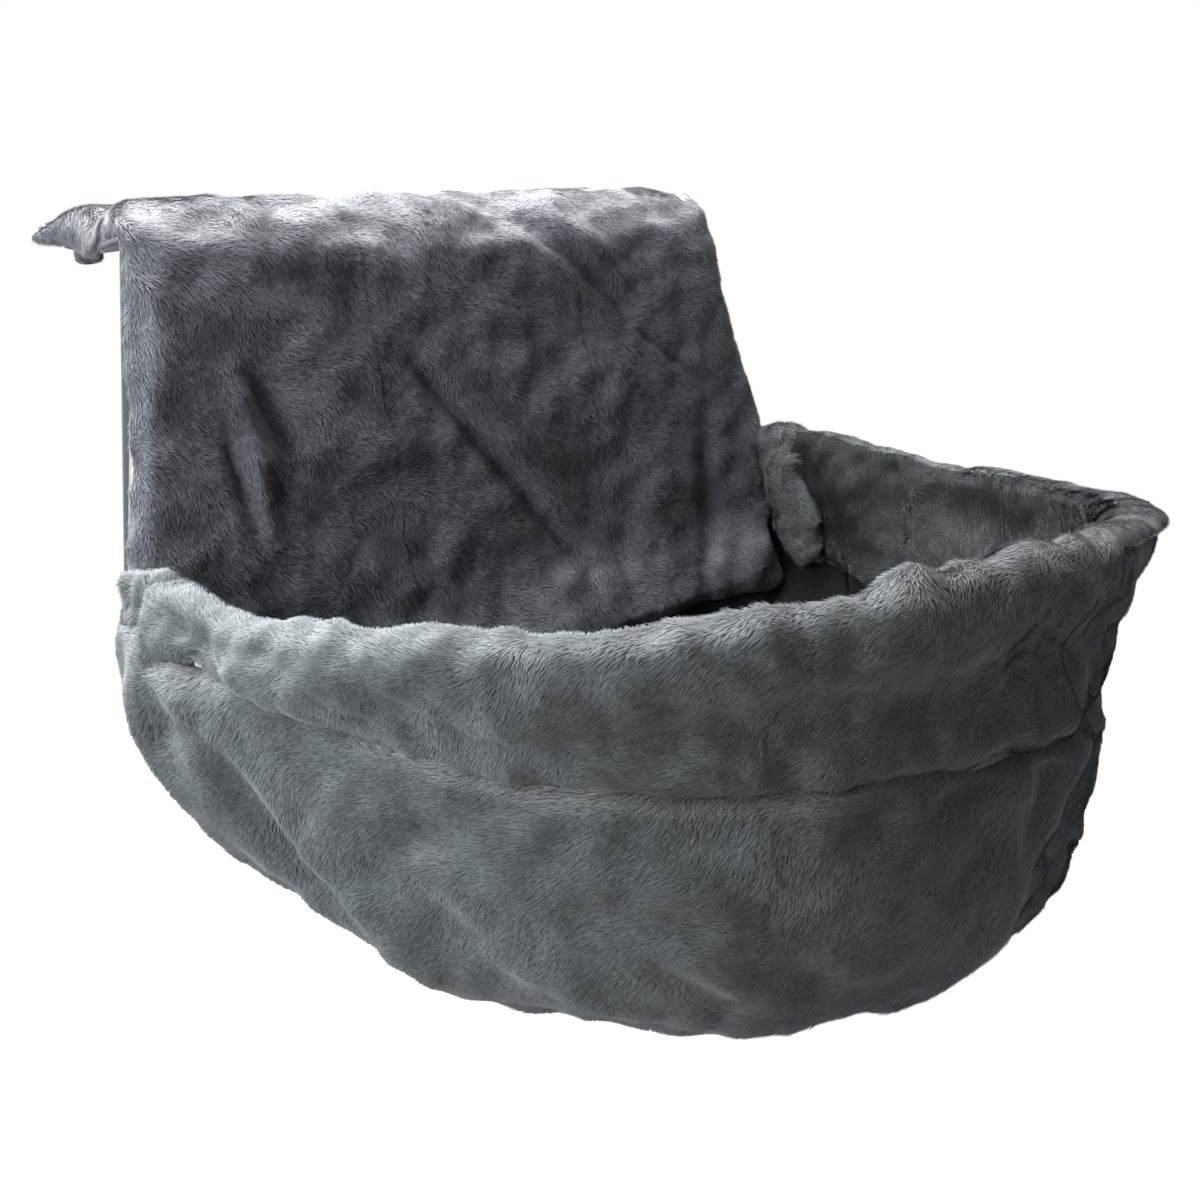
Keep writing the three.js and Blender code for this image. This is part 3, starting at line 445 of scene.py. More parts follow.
# A point of the bag at heights z, drawn in by inset; plan values and z are arrays of one shape
def wallPoint(plan, z, inset):
    rim = armHeight(plan["y"])
    ahead = middleY - plan["y"]
    wallDraw = bag["rearDraw"] + (bag["frontDraw"] - bag["rearDraw"]) * np.clip(ahead / bag["drawRun"], 0, 1)
    start = bag["rimDraw"] + (bag["rearDraw"] - bag["rimDraw"]) * plan["behind"]
    out = start + (wallDraw - start) * smooth((rim - z) / (rim - levelZ + bag["drawLevel"])) - inset
    near = np.exp(-((ahead / bag["cornerRun"]) ** 2))
    ease = smooth((cornerY - plan["y"]) / bag["cornerEase"])
    out = out + bag["cornerBulge"] * near * ease * smooth((levelZ + bag["bulgeTop"] - z) / bag["bulgeFall"])
    close = levelZ - bag["closeLevel"]
    fall = np.clip((close - z) / (bagDepth - inset - bag["closeLevel"]), 0, 1)
    shrink = np.cos(np.arcsin(fall ** (bag["depthSquareness"] / 2)))
    squareness = bag["wallSquareness"] + (bag["cornerSquareness"] - bag["wallSquareness"]) * near
    rearward = np.where(plan["y"] > lowestY, bag["cornerSquareness"], bag["wallSquareness"])
    x = (plan["x"] + plan["nx"] * out) * shrink ** (2 / squareness)
    y = lowestY + (plan["y"] + plan["ny"] * out - lowestY) * shrink ** (2 / rearward)
    hip = np.exp(-(((ahead - bag["hipAhead"]) / bag["hipRun"]) ** 2))
    hipLevel = np.exp(-(((levelZ - bag["hipDrop"] - z) / bag["hipHeight"]) ** 2))
    x = x + plan["nx"] * bag["hipPuff"] * hip * hipLevel
    return np.stack([x, y, z], -1)


# Heights from the shoulder to the lowest point, evenly spaced along the wall
def closingLevels(inset, count):
    low = levelZ - bagDepth + inset
    high = levelZ - bag["shoulder"]
    turns = np.linspace(0, math.pi / 2, 400)
    levels = high + (low - high) * np.sin(turns)
    one = {"x": 0.0, "y": frontY, "nx": 0.0, "ny": -1.0, "behind": 0.0}
    points = wallPoint(widened(one, levels.shape), levels, inset)
    lengths = pathLengths(points)
    return np.interp(np.linspace(0, lengths[-1], count + 1)[:-1], lengths, levels)


# Folds, creases and puffs of the plush: height out of the cloth (a crease is negative) and half
# width, both in mm, then the fold's line as seen by the camera: across and down, in pixels
outerFolds = [
    (-4.5, 14, 1078, 830, 1066, 870, 1030, 925, 985, 975, 925, 1003),
    (-5, 10, 132, 720, 150, 765, 180, 808, 225, 855, 290, 893), (1.5, 10, 330, 918, 362, 938, 395, 958),
    (-3, 8, 380, 950, 410, 968, 440, 980), (3.5, 9, 430, 980, 475, 1000, 515, 1010),
    (-3, 8, 535, 1020, 570, 1022, 610, 1022), (1, 11, 640, 1026, 690, 1032, 750, 1032),
    (-3, 11, 790, 1030, 850, 1018), (5, 10, 124, 640, 126, 680, 130, 720),
    (6, 7, 127, 636, 159, 686, 195, 716, 214, 741), (-9, 9, 139, 660, 149, 699, 156, 731, 169, 770),
    (-11, 6, 198, 727, 240, 779, 266, 818, 305, 872, 344, 911, 377, 935),
    (6, 7, 214, 736, 260, 788, 292, 828, 338, 888, 390, 940, 435, 965), (-6, 8, 180, 640, 208, 683),
    (4, 14, 172, 722, 208, 796, 262, 860), (-5, 11, 312, 754, 351, 782), (-5, 12, 396, 832, 461, 850),
    (-4, 9, 364, 855, 384, 892), (-4, 10, 451, 922, 480, 955), (4, 11, 338, 822, 435, 881, 500, 946),
    (-4, 12, 565, 908, 600, 935), (4, 8, 500, 960, 560, 985, 640, 1003), (-3, 6, 480, 980, 560, 1000),
    (-5, 7, 667, 973, 713, 1004, 744, 1007), (-4, 7, 797, 990, 847, 985), (4, 12, 617, 885, 751, 868, 904, 856),
    (-3, 13, 656, 852, 790, 838), (-3, 11, 675, 916, 774, 900), (-6, 7, 1015, 762, 977, 785, 950, 812),
    (5, 7, 1073, 720, 1069, 755, 1057, 808, 1050, 850), (-5, 5, 1086, 736, 1075, 801, 1066, 845),
    (5, 8, 1038, 785, 1023, 824, 1012, 877, 996, 923), (-4, 5, 1050, 765, 1040, 800, 1028, 850),
    (-4, 9, 1000, 800, 1000, 839, 985, 880), (3, 8, 950, 985, 1005, 935, 1040, 880),
    (2, 6, 1110, 535, 1122, 585, 1112, 625), (-2, 5, 1098, 540, 1104, 590), (-2, 5, 1132, 545, 1130, 590),
    (3, 16, 620, 690, 760, 660, 860, 640), (-3, 15, 690, 740, 830, 730, 930, 700),
    (3, 14, 330, 660, 450, 690, 560, 700), (-3, 9, 360, 712, 470, 738),
]
panelFolds = [
    (-7.5, 7, 484, 204, 529, 221, 573, 249, 602, 282, 627, 319), (4.5, 9, 520, 205, 575, 228, 620, 270),
    (-4.5, 4, 640, 330, 680, 360, 708, 380),
    (-7.5, 6, 414, 360, 439, 388, 467, 421, 508, 474, 533, 507, 590, 568),
    (4.5, 8, 440, 372, 480, 415, 530, 470, 560, 510), (-4.5, 14, 243, 270, 329, 298, 386, 335),
    (4.5, 16, 200, 262, 290, 320, 370, 352), (-7.5, 7, 251, 376, 275, 421, 296, 466),
    (4.5, 8, 232, 372, 252, 420, 276, 470), (-7.5, 5, 231, 449, 243, 486, 255, 527),
    (4.5, 7, 244, 448, 262, 500, 272, 540), (4.5, 18, 330, 420, 400, 470, 460, 560),
    (4.5, 18, 620, 400, 640, 470, 650, 560), (-3, 12, 560, 430, 600, 500), (4.5, 16, 350, 560, 420, 600),
    (-4.5, 8, 705, 440, 712, 520, 706, 580),
]
liningFolds = [
    (-3.5, 10, 884, 455, 889, 500, 892, 575), (6, 9, 908, 465, 925, 500, 934, 560),
    (-3.5, 10, 980, 476, 990, 510, 990, 560), (5, 9, 1006, 480, 1030, 520),
    (4, 12, 820, 440, 850, 500, 870, 570), (-3, 8, 800, 440, 812, 500),
]


def smoothPath(path, steps=8):
    path = np.array(path, float)
    if len(path) < 3:
        return path
    whole = np.linspace(0, len(path) - 1, steps * (len(path) - 1) + 1)
    found = alongPath(whole, np.arange(len(path)), path)
    for _ in range(steps // 2):
        found[1:-1] = (found[:-2] + found[1:-1] * 2 + found[2:]) / 4
    return found


foldEndShare = 0.35  # of a fold's height left at its ends


# How far each point is moved along its normal by the folds that face the camera
def foldHeights(points, normals, folds, faced=0.12):
    pixels, depth = pixelsOf(points)
    perPixel = depth / photoCamera["focalPixels"]
    sight = cameraAxes()[2]
    seen = smooth((normals @ sight + faced) / (2 * faced))
    total = np.zeros(len(points))
    for height, width, *line in folds:
        path = smoothPath(np.reshape(line, (-1, 2)))
        near = np.full(len(points), 1e9)
        share = np.zeros(len(points))
        for i in range(len(path) - 1):
            a, b = path[i], path[i + 1]
            run = b - a
            t = np.clip(((pixels - a) @ run) / (run @ run), 0, 1)
            gap = np.linalg.norm(pixels - a - t[:, None] * run, axis=1)
            closer = gap < near
            near = np.where(closer, gap, near)
            share = np.where(closer, (i + t) / (len(path) - 1), share)
        reach = near * perPixel / (width * mm)
        ends = foldEndShare + (1 - foldEndShare) * np.sin(math.pi * np.clip(share, 0.02, 0.98)) ** 0.6
        total += height * mm * np.exp(-(reach**2)) * ends
    return total * seen


# Mesh helpers


def meshObject(name, points, faces, material):
    mesh = bpy.data.meshes.new(name)
    mesh.from_pydata([tuple(p) for p in points], [], faces)
    mesh.update()
    mesh.polygons.foreach_set("use_smooth", [True] * len(mesh.polygons))
    mesh.materials.append(material)
    return addObject(name, mesh)


# Normals of a grid whose rows are closed
def gridNormals(grid):
    across = np.roll(grid, -1, 1) - np.roll(grid, 1, 1)
    normals = np.cross(np.gradient(grid, axis=0), across)
    lengths = np.linalg.norm(normals, axis=2)[..., None]
    return normals / np.maximum(lengths, 1e-12)


calmReach = 24 * mm


# Near the lowest point the rows crowd together, so the normals turn to point straight down or up
def calmPole(grid, normals, down):
    away = smooth(np.hypot(grid[..., 0], grid[..., 1] - lowestY) / calmReach)
    upright = np.array([0, 0, -1.0 if down else 1.0])
    steady = normals * away[..., None] + upright * (1 - away)[..., None]
    return steady / np.linalg.norm(steady, axis=2)[..., None], away.reshape(-1)


def gridFaces(rows, columns, start=0, closedAcross=True, turned=False):
    faces = []
    last = columns if closedAcross else columns - 1
    for row in range(rows - 1):
        for i in range(last):
            j = (i + 1) % columns
            a, b = start + row * columns + i, start + row * columns + j
            c, d = start + (row + 1) * columns + j, start + (row + 1) * columns + i
            faces.append((a, b, c, d) if turned else (a, d, c, b))
    return faces


def setValues(piece, name, kind, values):
    attribute = piece.data.attributes.new(name, kind, "POINT")
    key = "vector" if kind == "FLOAT_VECTOR" else "value"
    attribute.data.foreach_set(key, np.asarray(values, np.float32).ravel())


def facesOut(piece):
    mesh = piece.data
    mesh.calc_loop_triangles()
    volume = 0.0
    for triangle in mesh.loop_triangles:
        a, b, c = (mesh.vertices[i].co for i in triangle.vertices)
        volume += a.dot(b.cross(c))
    return volume > 0


def turnOut(piece):
    if not facesOut(piece):
        piece.data.flip_normals()
    return piece


# A tube of rings, closed at both ends around a middle point
def closedTube(name, rings, material):
    rows, sides = rings.shape[:2]
    count = rows * sides
    points = np.vstack([rings.reshape(-1, 3), rings[0].mean(0)[None], rings[-1].mean(0)[None]])
    faces = gridFaces(rows, sides)
    for i in range(sides):
        j = (i + 1) % sides
        faces += [(count, i, j), (count + 1, count - sides + j, count - sides + i)]
    return turnOut(meshObject(name, points, faces, material))


def vertexArrays(piece):
    count = len(piece.data.vertices)
    points = np.zeros(count * 3)
    normals = np.zeros(count * 3)
    piece.data.vertices.foreach_get("co", points)
    piece.data.vertices.foreach_get("normal", normals)
    return points.reshape(-1, 3), normals.reshape(-1, 3)


# Pile: short fibres on a cloth, each one flat blade that tapers to its tip
pile = {
    "width": 0.45 * mm,
    "shortest": 0.7,  # of the length
    "longest": 1.2,
    "clump": 6 * mm,  # fibres that lean alike
    "stray": 0.16,  # how far a single fibre leans out of its clump
    "relief": 0.4,  # how far the light shows the clumps
    "strayRelief": 1.2,  # and the stray fibres
}


def makeBlade():
    mesh = bpy.data.meshes.new("pileBlade")
    mesh.from_pydata([(-0.5, 0, 0), (0.5, 0, 0), (0, 0, 1)], [], [(0, 2, 1)])
    tip = mesh.attributes.new("tip", "FLOAT", "POINT")
    tip.data.foreach_set("value", [0.0, 0.0, 1.0])
    return bpy.data.objects.new("pileBlade", mesh)


pileBlade = makeBlade()


# A geometry tree with its named inputs and one result
def newTree(name, sockets, result):
    tree = bpy.data.node_groups.new(name, "GeometryNodeTree")
    for socket, kind in sockets.items():
        tree.interface.new_socket(name=socket, in_out="INPUT", socket_type="NodeSocket" + kind)
    tree.interface.new_socket(name=result, in_out="OUTPUT", socket_type="NodeSocketGeometry")
    return tree, addNode(tree, "NodeGroupInput").outputs


def makePileTree():
    sockets = {"Cloth": "Geometry", "Fibres per square metre": "Float", "Length": "Float", "Lift": "Float"}
    sockets |= {"Ruffle": "Float", "Seed": "Int", "Finish": "Material"}
    tree, start = newTree("plushPile", sockets, "Pile")
    vectors, scaled = "ShaderNodeVectorMath", {"operation": "SCALE"}
    named = "GeometryNodeInputNamedAttribute"
    grown = addNode(tree, named, {"data_type": "FLOAT"}, {"Name": "grown"}).outputs[0]
    nap = addNode(tree, named, {"data_type": "FLOAT_VECTOR"}, {"Name": "nap"}).outputs[0]
    held = addNode(tree, named, {"data_type": "FLOAT_VECTOR"}, {"Name": "facing"}).outputs[0]
    counted = {0: start["Fibres per square metre"], 1: grown}
    density = addNode(tree, "ShaderNodeMath", {"operation": "MULTIPLY"}, counted).outputs[0]
    spread = addNode(
        tree,
        "GeometryNodeDistributePointsOnFaces",
        {"distribute_method": "RANDOM"},
        {"Mesh": start["Cloth"], "Density": density, "Seed": start["Seed"]},
    )
    normal = spread.outputs["Normal"]
    place = addNode(tree, "GeometryNodeInputPosition").outputs[0]
    noise = {"Vector": place, "Scale": perMetre(pile["clump"]), "Detail": 1.0}
    clump = addNode(tree, "ShaderNodeTexNoise", inputs=noise).outputs["Color"]
    centred = addNode(tree, vectors, {"operation": "SUBTRACT"}, {0: clump, 1: (0.5, 0.5, 0.5)}).outputs[0]
    swirl = addNode(tree, vectors, scaled, {0: centred, "Scale": start["Ruffle"]}).outputs[0]
    stray = addNode(
        tree,
        "FunctionNodeRandomValue",
        {"data_type": "FLOAT_VECTOR"},
        {0: (-pile["stray"],) * 3, 1: (pile["stray"],) * 3, "Seed": start["Seed"]},
    ).outputs[0]
    lifted = addNode(tree, vectors, scaled, {0: normal, "Scale": start["Lift"]}).outputs[0]
    uneven = addNode(tree, vectors, scaled, {0: swirl, "Scale": pile["relief"]}).outputs[0]
    strayed = addNode(tree, vectors, scaled, {0: stray, "Scale": pile["strayRelief"]}).outputs[0]
    # fibres are lit as the soft surface that they make, a little uneven from clump to clump
    sums = []
    for total, *parts in ((lifted, nap, swirl, stray), (normal, stray), (normal, uneven, strayed)):
        for part in parts:
            total = addNode(tree, vectors, {"operation": "ADD"}, {0: total, 1: part}).outputs[0]
        sums.append(total)
    way, front, loose = sums
    upright = addNode(tree, "FunctionNodeAlignRotationToVector", {"axis": "Z"}, {"Vector": way})
    faced = addNode(
        tree,
        "FunctionNodeAlignRotationToVector",
        {"axis": "Y", "pivot_axis": "Z"},
        {"Rotation": upright.outputs[0], "Vector": front},
    )
    dice = {2: 0.0, 3: 1.0, "Seed": start["Seed"]}
    shade = addNode(tree, "FunctionNodeRandomValue", {"data_type": "FLOAT"}, dice).outputs[1]
    span = {"Value": shade, "To Min": pile["shortest"], "To Max": pile["longest"]}
    longer = addNode(tree, "ShaderNodeMapRange", inputs=span).outputs[0]
    scales = {0: start["Length"], 1: longer}
    tall = addNode(tree, "ShaderNodeMath", {"operation": "MULTIPLY"}, scales).outputs[0]
    size = addNode(tree, "ShaderNodeCombineXYZ", inputs={0: pile["width"], 1: 1.0, 2: tall}).outputs[0]
    marked = spread
    for key, kind, value in (("facing", "FLOAT_VECTOR", loose), ("shade", "FLOAT", shade)):
        settings = {"data_type": kind, "domain": "POINT"}
        values = {"Geometry": marked.outputs[0], "Name": key, "Value": value}
        marked = addNode(tree, "GeometryNodeStoreNamedAttribute", settings, values)
    blade = addNode(tree, "GeometryNodeObjectInfo", inputs={"Object": pileBlade}).outputs["Geometry"]
    fibres = addNode(
        tree,
        "GeometryNodeInstanceOnPoints",
        inputs={"Points": marked.outputs[0], "Instance": blade, "Rotation": faced.outputs[0], "Scale": size},
    )
    real = addNode(tree, "GeometryNodeRealizeInstances", inputs={"Geometry": fibres.outputs[0]})
    unit = addNode(tree, vectors, {"operation": "NORMALIZE"}, {0: held}).outputs[0]
    turned = {"Mesh": real.outputs[0], "Custom Normal": unit}
    lit = addNode(tree, "GeometryNodeSetMeshNormal", {"mode": "FREE", "domain": "POINT"}, turned)
    finished = {"Geometry": lit.outputs[0], "Material": start["Finish"]}
    done = addNode(tree, "GeometryNodeSetMaterial", inputs=finished)
    addNode(tree, "NodeGroupOutput", inputs={"Pile": done.outputs[0]})
    return tree


pileTree = makePileTree()


# Runs a node tree on an object and returns its result as a plain mesh object
def grownPiece(name, carrier, tree, values):
    bpy.context.view_layer.update()
    modifier = carrier.modifiers.new("grow", "NODES")
    modifier.node_group = tree
    sockets = {s.name: s.identifier for s in tree.interface.items_tree if s.in_out == "INPUT"}
    for key, value in values.items():
        modifier[sockets[key]] = value
    evaluated = carrier.evaluated_get(bpy.context.evaluated_depsgraph_get())
    mesh = bpy.data.meshes.new_from_object(evaluated)
    carrier.modifiers.remove(modifier)
    mesh.name = name
    return addObject(name, mesh)


# A map for baking: fibres lie side by side on it as they do on the bed
def mapPile(piece, placeOf):
    mesh = piece.data
    points, _ = vertexArrays(piece)
    places = placeOf(points)
    corners = np.zeros(len(mesh.loops), np.int32)
    mesh.loops.foreach_get("vertex_index", corners)
    layer = mesh.uv_layers.new(name="OFBake")
    layer.uv.foreach_set("vector", places[corners].astype(np.float32).ravel())


def bagPlace(points):
    turn = np.arctan2(points[:, 0], lowestY - points[:, 1]) / (2 * math.pi) + 0.5
    height = (points[:, 2] - cadBox[0].z) / (pivotZ - cadBox[0].z + 0.03)
    return np.clip(np.stack([turn, height], 1), 0.001, 0.999)


def panelPlace(points):
    across = (points[:, 0] - cadBox[0].x) / (cadBox[1].x - cadBox[0].x)
    run = (points[:, 2] - panelLow.z) + (points[:, 1] - faceY)
    down = run / (panelHigh.z - panelLow.z + panelHigh.y - faceY)
    return np.clip(np.stack([across, down], 1), 0.001, 0.999)


# Painted highlight: how far the fibres' tips are painted pale, most where the cloth faces up towards the lamps
def paintHighlightOver(cloth, strength, start=0.35, span=0.6, way=(-0.4, 0.15, 0.9)):
    points, normals = vertexArrays(cloth)
    towards = normals @ (np.array(way) / np.linalg.norm(way))
    uneven = 0.9 + 0.16 * softNoise(points, 14 * mm, 91)
    setValues(cloth, "paintedHighlight", "FLOAT", np.clip(strength * smooth((towards - start) / span) * uneven, 0, 1))


def growPile(name, cloth, grown, nap, spec, finish, bodies, placeOf):
    setValues(cloth, "grown", "FLOAT", grown)
    setValues(cloth, "nap", "FLOAT_VECTOR", nap)
    thin = 1
    values = {key.title(): spec[key] for key in ("length", "lift", "ruffle", "seed")}
    values |= {"Fibres per square metre": spec["perSquareMm"] / mm**2 * thin, "Finish": finish}
    piece = grownPiece(name, cloth, pileTree, values)
    for key in ("grown", "nap"):
        cloth.data.attributes.remove(cloth.data.attributes[key])
    mapPile(piece, placeOf)
    bodies(piece)
    print(name, len(piece.data.polygons), "fibres")


# A wide cloth's pile is grown in parts, from one x to the next
def growParts(name, cloth, grown, nap, spec, finish, bodies, placeOf, parts):
    points, _ = vertexArrays(cloth)
    for part, (low, high) in enumerate(parts):
        here = grown * ((points[:, 0] >= low) & (points[:, 0] < high))
        growPile(f"{name}{part + 1}", cloth, here, nap, spec, finish, bodies, placeOf)


# The nap's way along a surface: mostly along, turned a little towards down from patch to patch
def napField(points, normals, along, down, size, seed, turning=0.35):
    turn = turning * (softNoise(points, size, seed) + 0.5 * softNoise(points, size / 3, seed + 1))
    flatAlong = along - (along * normals).sum(1)[:, None] * normals
    flatAlong /= np.maximum(np.linalg.norm(flatAlong, axis=1)[:, None], 1e-9)
    side = np.cross(normals, flatAlong)
    lean = np.where((side @ down)[:, None] > 0, side, -side)
    angle = turn[:, None] + 0.45
    return np.cos(angle) * flatAlong + np.sin(angle) * lean


def roundTheBag(points):
    return np.stack([points[:, 1] - lowestY, -points[:, 0], np.zeros(len(points))], 1)


quarters = [(-1, -0.11), (-0.11, 0), (0, 0.11), (0.11, 1)]
halves = [(-1, 0), (0, 1)]
thirds = [(-1, -0.07), (-0.07, 0.07), (0.07, 1)]
straightDown = np.array([0, 0, -1.0])


# The hanging cloth gets a mesh of its own
def crumple(piece):
    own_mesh(piece)


def ridesHoop(piece):
    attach(piece, "hoop")
    crumple(piece)


def ridesHanger(piece):
    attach(piece, "hanger")


# Pouch: the outer wall under the band, one closed bag of plush
pouch = {
    "columns": 330,
    "topRows": 14,
    "closingRows": 74,
    "wall": 4 * mm,
    "grooveDepth": 4 * mm,
    "grooveWidth": 8 * mm,
    "footDrop": 3.6 * mm,  # of its rear edge under the panel's foot
    "hingeDrop": 18 * mm,  # of its edge under the hinges
    "upright": (1, 1, 0.45),  # long wrinkles run down the wall
    "longWrinkles": [(1.6 * mm, 55 * mm, 21)],  # height, size and seed
    "wrinkles": [(0.7 * mm, 21 * mm, 22)],
    "pile": {"perSquareMm": 1.95, "length": 3.5 * mm, "lift": 0.28, "ruffle": 0.6, "seed": 11},
}

# Folds on the side that the photograph doesn't show: share round the hoop and drop in mm
# at both ends, then height in mm
farFolds = [
    (0.665, 108, 0.64, 156, -5),
    (0.76, 80, 0.71, 142, 5),
    (0.84, 76, 0.79, 133, -5),
    (0.945, 46, 0.88, 146, 6),
    (0.965, 42, 0.91, 141, -8),
]
farFoldWidth = 13 * mm
wayRound = 0.9  # metres round the hoop, near enough


def farFoldHeights(shares, points):
    total = np.zeros(len(points))
    down = levelZ - points[:, 2]
    for place, start, endPlace, end, height in farFolds:
        a = np.array([place * wayRound, start * mm])
        run = np.array([endPlace * wayRound, end * mm]) - a
        gap = np.stack([shares * wayRound, down], 1) - a
        t = np.clip((gap @ run) / (run @ run), 0, 1)
        distance = np.linalg.norm(gap - t[:, None] * run, axis=1)
        total += height * mm * np.exp(-((distance / farFoldWidth) ** 2))
    return total


def bagGrid(plan, inset, tops, topRows, closingRows):
    shoulder = levelZ - bag["shoulder"]
    shares = np.linspace(0, 1, topRows + 1)[:-1]
    upper = tops[None, :] + (shoulder - tops[None, :]) * shares[:, None]
    lower = np.repeat(closingLevels(inset, closingRows)[:, None], len(tops), 1)
    z = np.vstack([upper, lower])
    return wallPoint(widened(plan, z.shape), z, inset)


def closedBag(name, outerGrid, innerGrid, material):
    rows, columns = outerGrid.shape[:2]
    outer, inner = outerGrid.reshape(-1, 3), innerGrid.reshape(-1, 3)
    poleOuter, poleInner = outerGrid[-1].mean(0), innerGrid[-1].mean(0)
    points = np.vstack([outer, inner, poleOuter[None], poleInner[None]])
    count = rows * columns
    faces = gridFaces(rows, columns) + gridFaces(rows, columns, count, turned=True)
    for i in range(columns):
        j = (i + 1) % columns
        faces.append((i, j, count + j, count + i))
        low = (rows - 1) * columns
        faces.append((low + i, 2 * count, low + j))
        faces.append((count + low + i, count + low + j, 2 * count + 1))
    return meshObject(name, points, faces, material)


bandEdgeRun = 8 * mm


# Height of a bag's edge: under the band, then past the hinge and along the panel's foot
def edgeLevels(plan, under, footLevel, hingeLevel):
    banded = smooth((bandStartY + bandEdgeRun / 2 - plan["y"]) / bandEdgeRun)
    free = hingeLevel + (footLevel - hingeLevel) * plan["behind"] ** 3
    return under * banded + free * (1 - banded), banded


def makePouch():
    plan = planCurve(pouch["columns"])
    footLevel, hingeLevel = panelLow.z - pouch["footDrop"], pivotZ - pouch["hingeDrop"]
    tops, banded = edgeLevels(plan, seamLevel(plan), footLevel, hingeLevel)
    grid = bagGrid(plan, bag["pile"] - 1 * mm, tops, pouch["topRows"], pouch["closingRows"])
    normals, away = calmPole(grid, gridNormals(grid), True)
    flat, flatNormals = grid.reshape(-1, 3), normals.reshape(-1, 3)
    under = (tops[None, :] - grid[..., 2]).reshape(-1) / pouch["grooveWidth"]
    tuck = -pouch["grooveDepth"] * (1 - smooth(under)) * np.broadcast_to(banded, grid.shape[:2]).reshape(-1)
    wrinkles = wrinkled(flat * pouch["upright"], pouch["longWrinkles"]) + wrinkled(flat, pouch["wrinkles"])
    folded = foldHeights(flat, flatNormals, outerFolds)
    folded += farFoldHeights(np.broadcast_to(plan["share"], grid.shape[:2]).reshape(-1), flat)
    moved = flat + flatNormals * ((tuck + folded + wrinkles * smooth(under - 0.5)) * away)[:, None]
    outerGrid = moved.reshape(grid.shape)
    innerGrid = outerGrid - normals * pouch["wall"]
    return closedBag("pouchOuter", outerGrid, innerGrid, pouchPlush), len(flat)


pouchOuter, pouchFaceCount = makePouch()
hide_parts("pouch_outer", "pouch_padding")
print("pouch made")


def growBagPile(name, cloth, faceCount, spec, finish, parts):
    points, normals = vertexArrays(cloth)
    shown = np.zeros(len(points))
    shown[:faceCount] = 1
    nap = napField(points, normals, roundTheBag(points), straightDown, 90 * mm, spec["seed"])
    growParts(name, cloth, shown, nap, spec, finish, ridesHoop, bagPlace, parts)


# painted highlight on the pouch's upward faces
paintHighlightOver(pouchOuter, 0.5)
growBagPile("pouchPile", pouchOuter, pouchFaceCount, pouch["pile"], pouchPlush, quarters)
ridesHoop(pouchOuter)

# Lining: the plush inside the pouch, gathered into furrows under the roll, in a darker copy of the plush that is
# painted shade
innerBag = {
    "columns": 300,
    "topRows": 20,
    "closingRows": 50,
    "inset": 12.5 * mm,
    "wall": 4 * mm,
    "furrow": 4 * mm,
    "furrows": 30,
    "furrowStart": 14 * mm,  # they deepen over this height
    "crowding": 0.45,  # more furrows at the front than at the sides
    "rollDrop": 74 * mm,  # of its edge under the roll's top
    "footDrop": 1 * mm,
    "hingeDrop": 13 * mm,
    "wrinkles": [(1.6 * mm, 50 * mm, 33)],
    "pile": {"perSquareMm": 1.1, "length": 4 * mm, "lift": 0.35, "ruffle": 0.8, "seed": 31},
}


def makeLining():
    plan = planCurve(innerBag["columns"])
    footLevel, hingeLevel = panelLow.z - innerBag["footDrop"], pivotZ - innerBag["hingeDrop"]
    under = armHeight(plan["y"]) + rollTop(plan["share"]) - innerBag["rollDrop"]
    tops, banded = edgeLevels(plan, under, footLevel, hingeLevel)
    outside, inside = (
        bagGrid(plan, inset, tops, innerBag["topRows"], innerBag["closingRows"])
        for inset in (innerBag["inset"], innerBag["inset"] + innerBag["wall"])
    )
    normals, away = calmPole(inside, -gridNormals(inside), False)
    flat, flatNormals = inside.reshape(-1, 3), normals.reshape(-1, 3)
    below = (tops[None, :] - inside[..., 2]).reshape(-1) / innerBag["furrowStart"]
    eased = np.linspace(0, 2 * math.pi, 400)
    angles = (eased - innerBag["crowding"] * np.sin(eased)) / 2
    station = np.interp(plan["turn"], angles, eased) * innerBag["furrows"] / (2 * math.pi)
    furrow = (1 - np.cos(math.pi * station)) / 2 * (banded > 0.5)
    furrow = np.broadcast_to(furrow, inside.shape[:2]).reshape(-1)
    low = smooth((flat[:, 2] - levelZ + bagDepth) / (bagDepth - bag["shoulder"]))
    gathers = innerBag["furrow"] * (0.15 - furrow) * smooth(below) * low
    soft = wrinkled(flat, innerBag["wrinkles"]) * smooth(below)
    folded = foldHeights(flat, flatNormals, liningFolds)
    moved = flat + flatNormals * ((gathers + soft + folded) * away)[:, None]
    piece = closedBag("pouchLining", moved.reshape(inside.shape), outside, liningShadedPlush)
    piece.data.flip_normals()
    return piece, len(flat)


pouchLining, liningFaceCount = makeLining()
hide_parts("pouch_lining")
# a faint painted highlight inside the pouch
paintHighlightOver(pouchLining, 0.1)
growBagPile("liningPile", pouchLining, liningFaceCount, innerBag["pile"], liningShadedPlush, halves)
ridesHoop(pouchLining)
print("lining made")

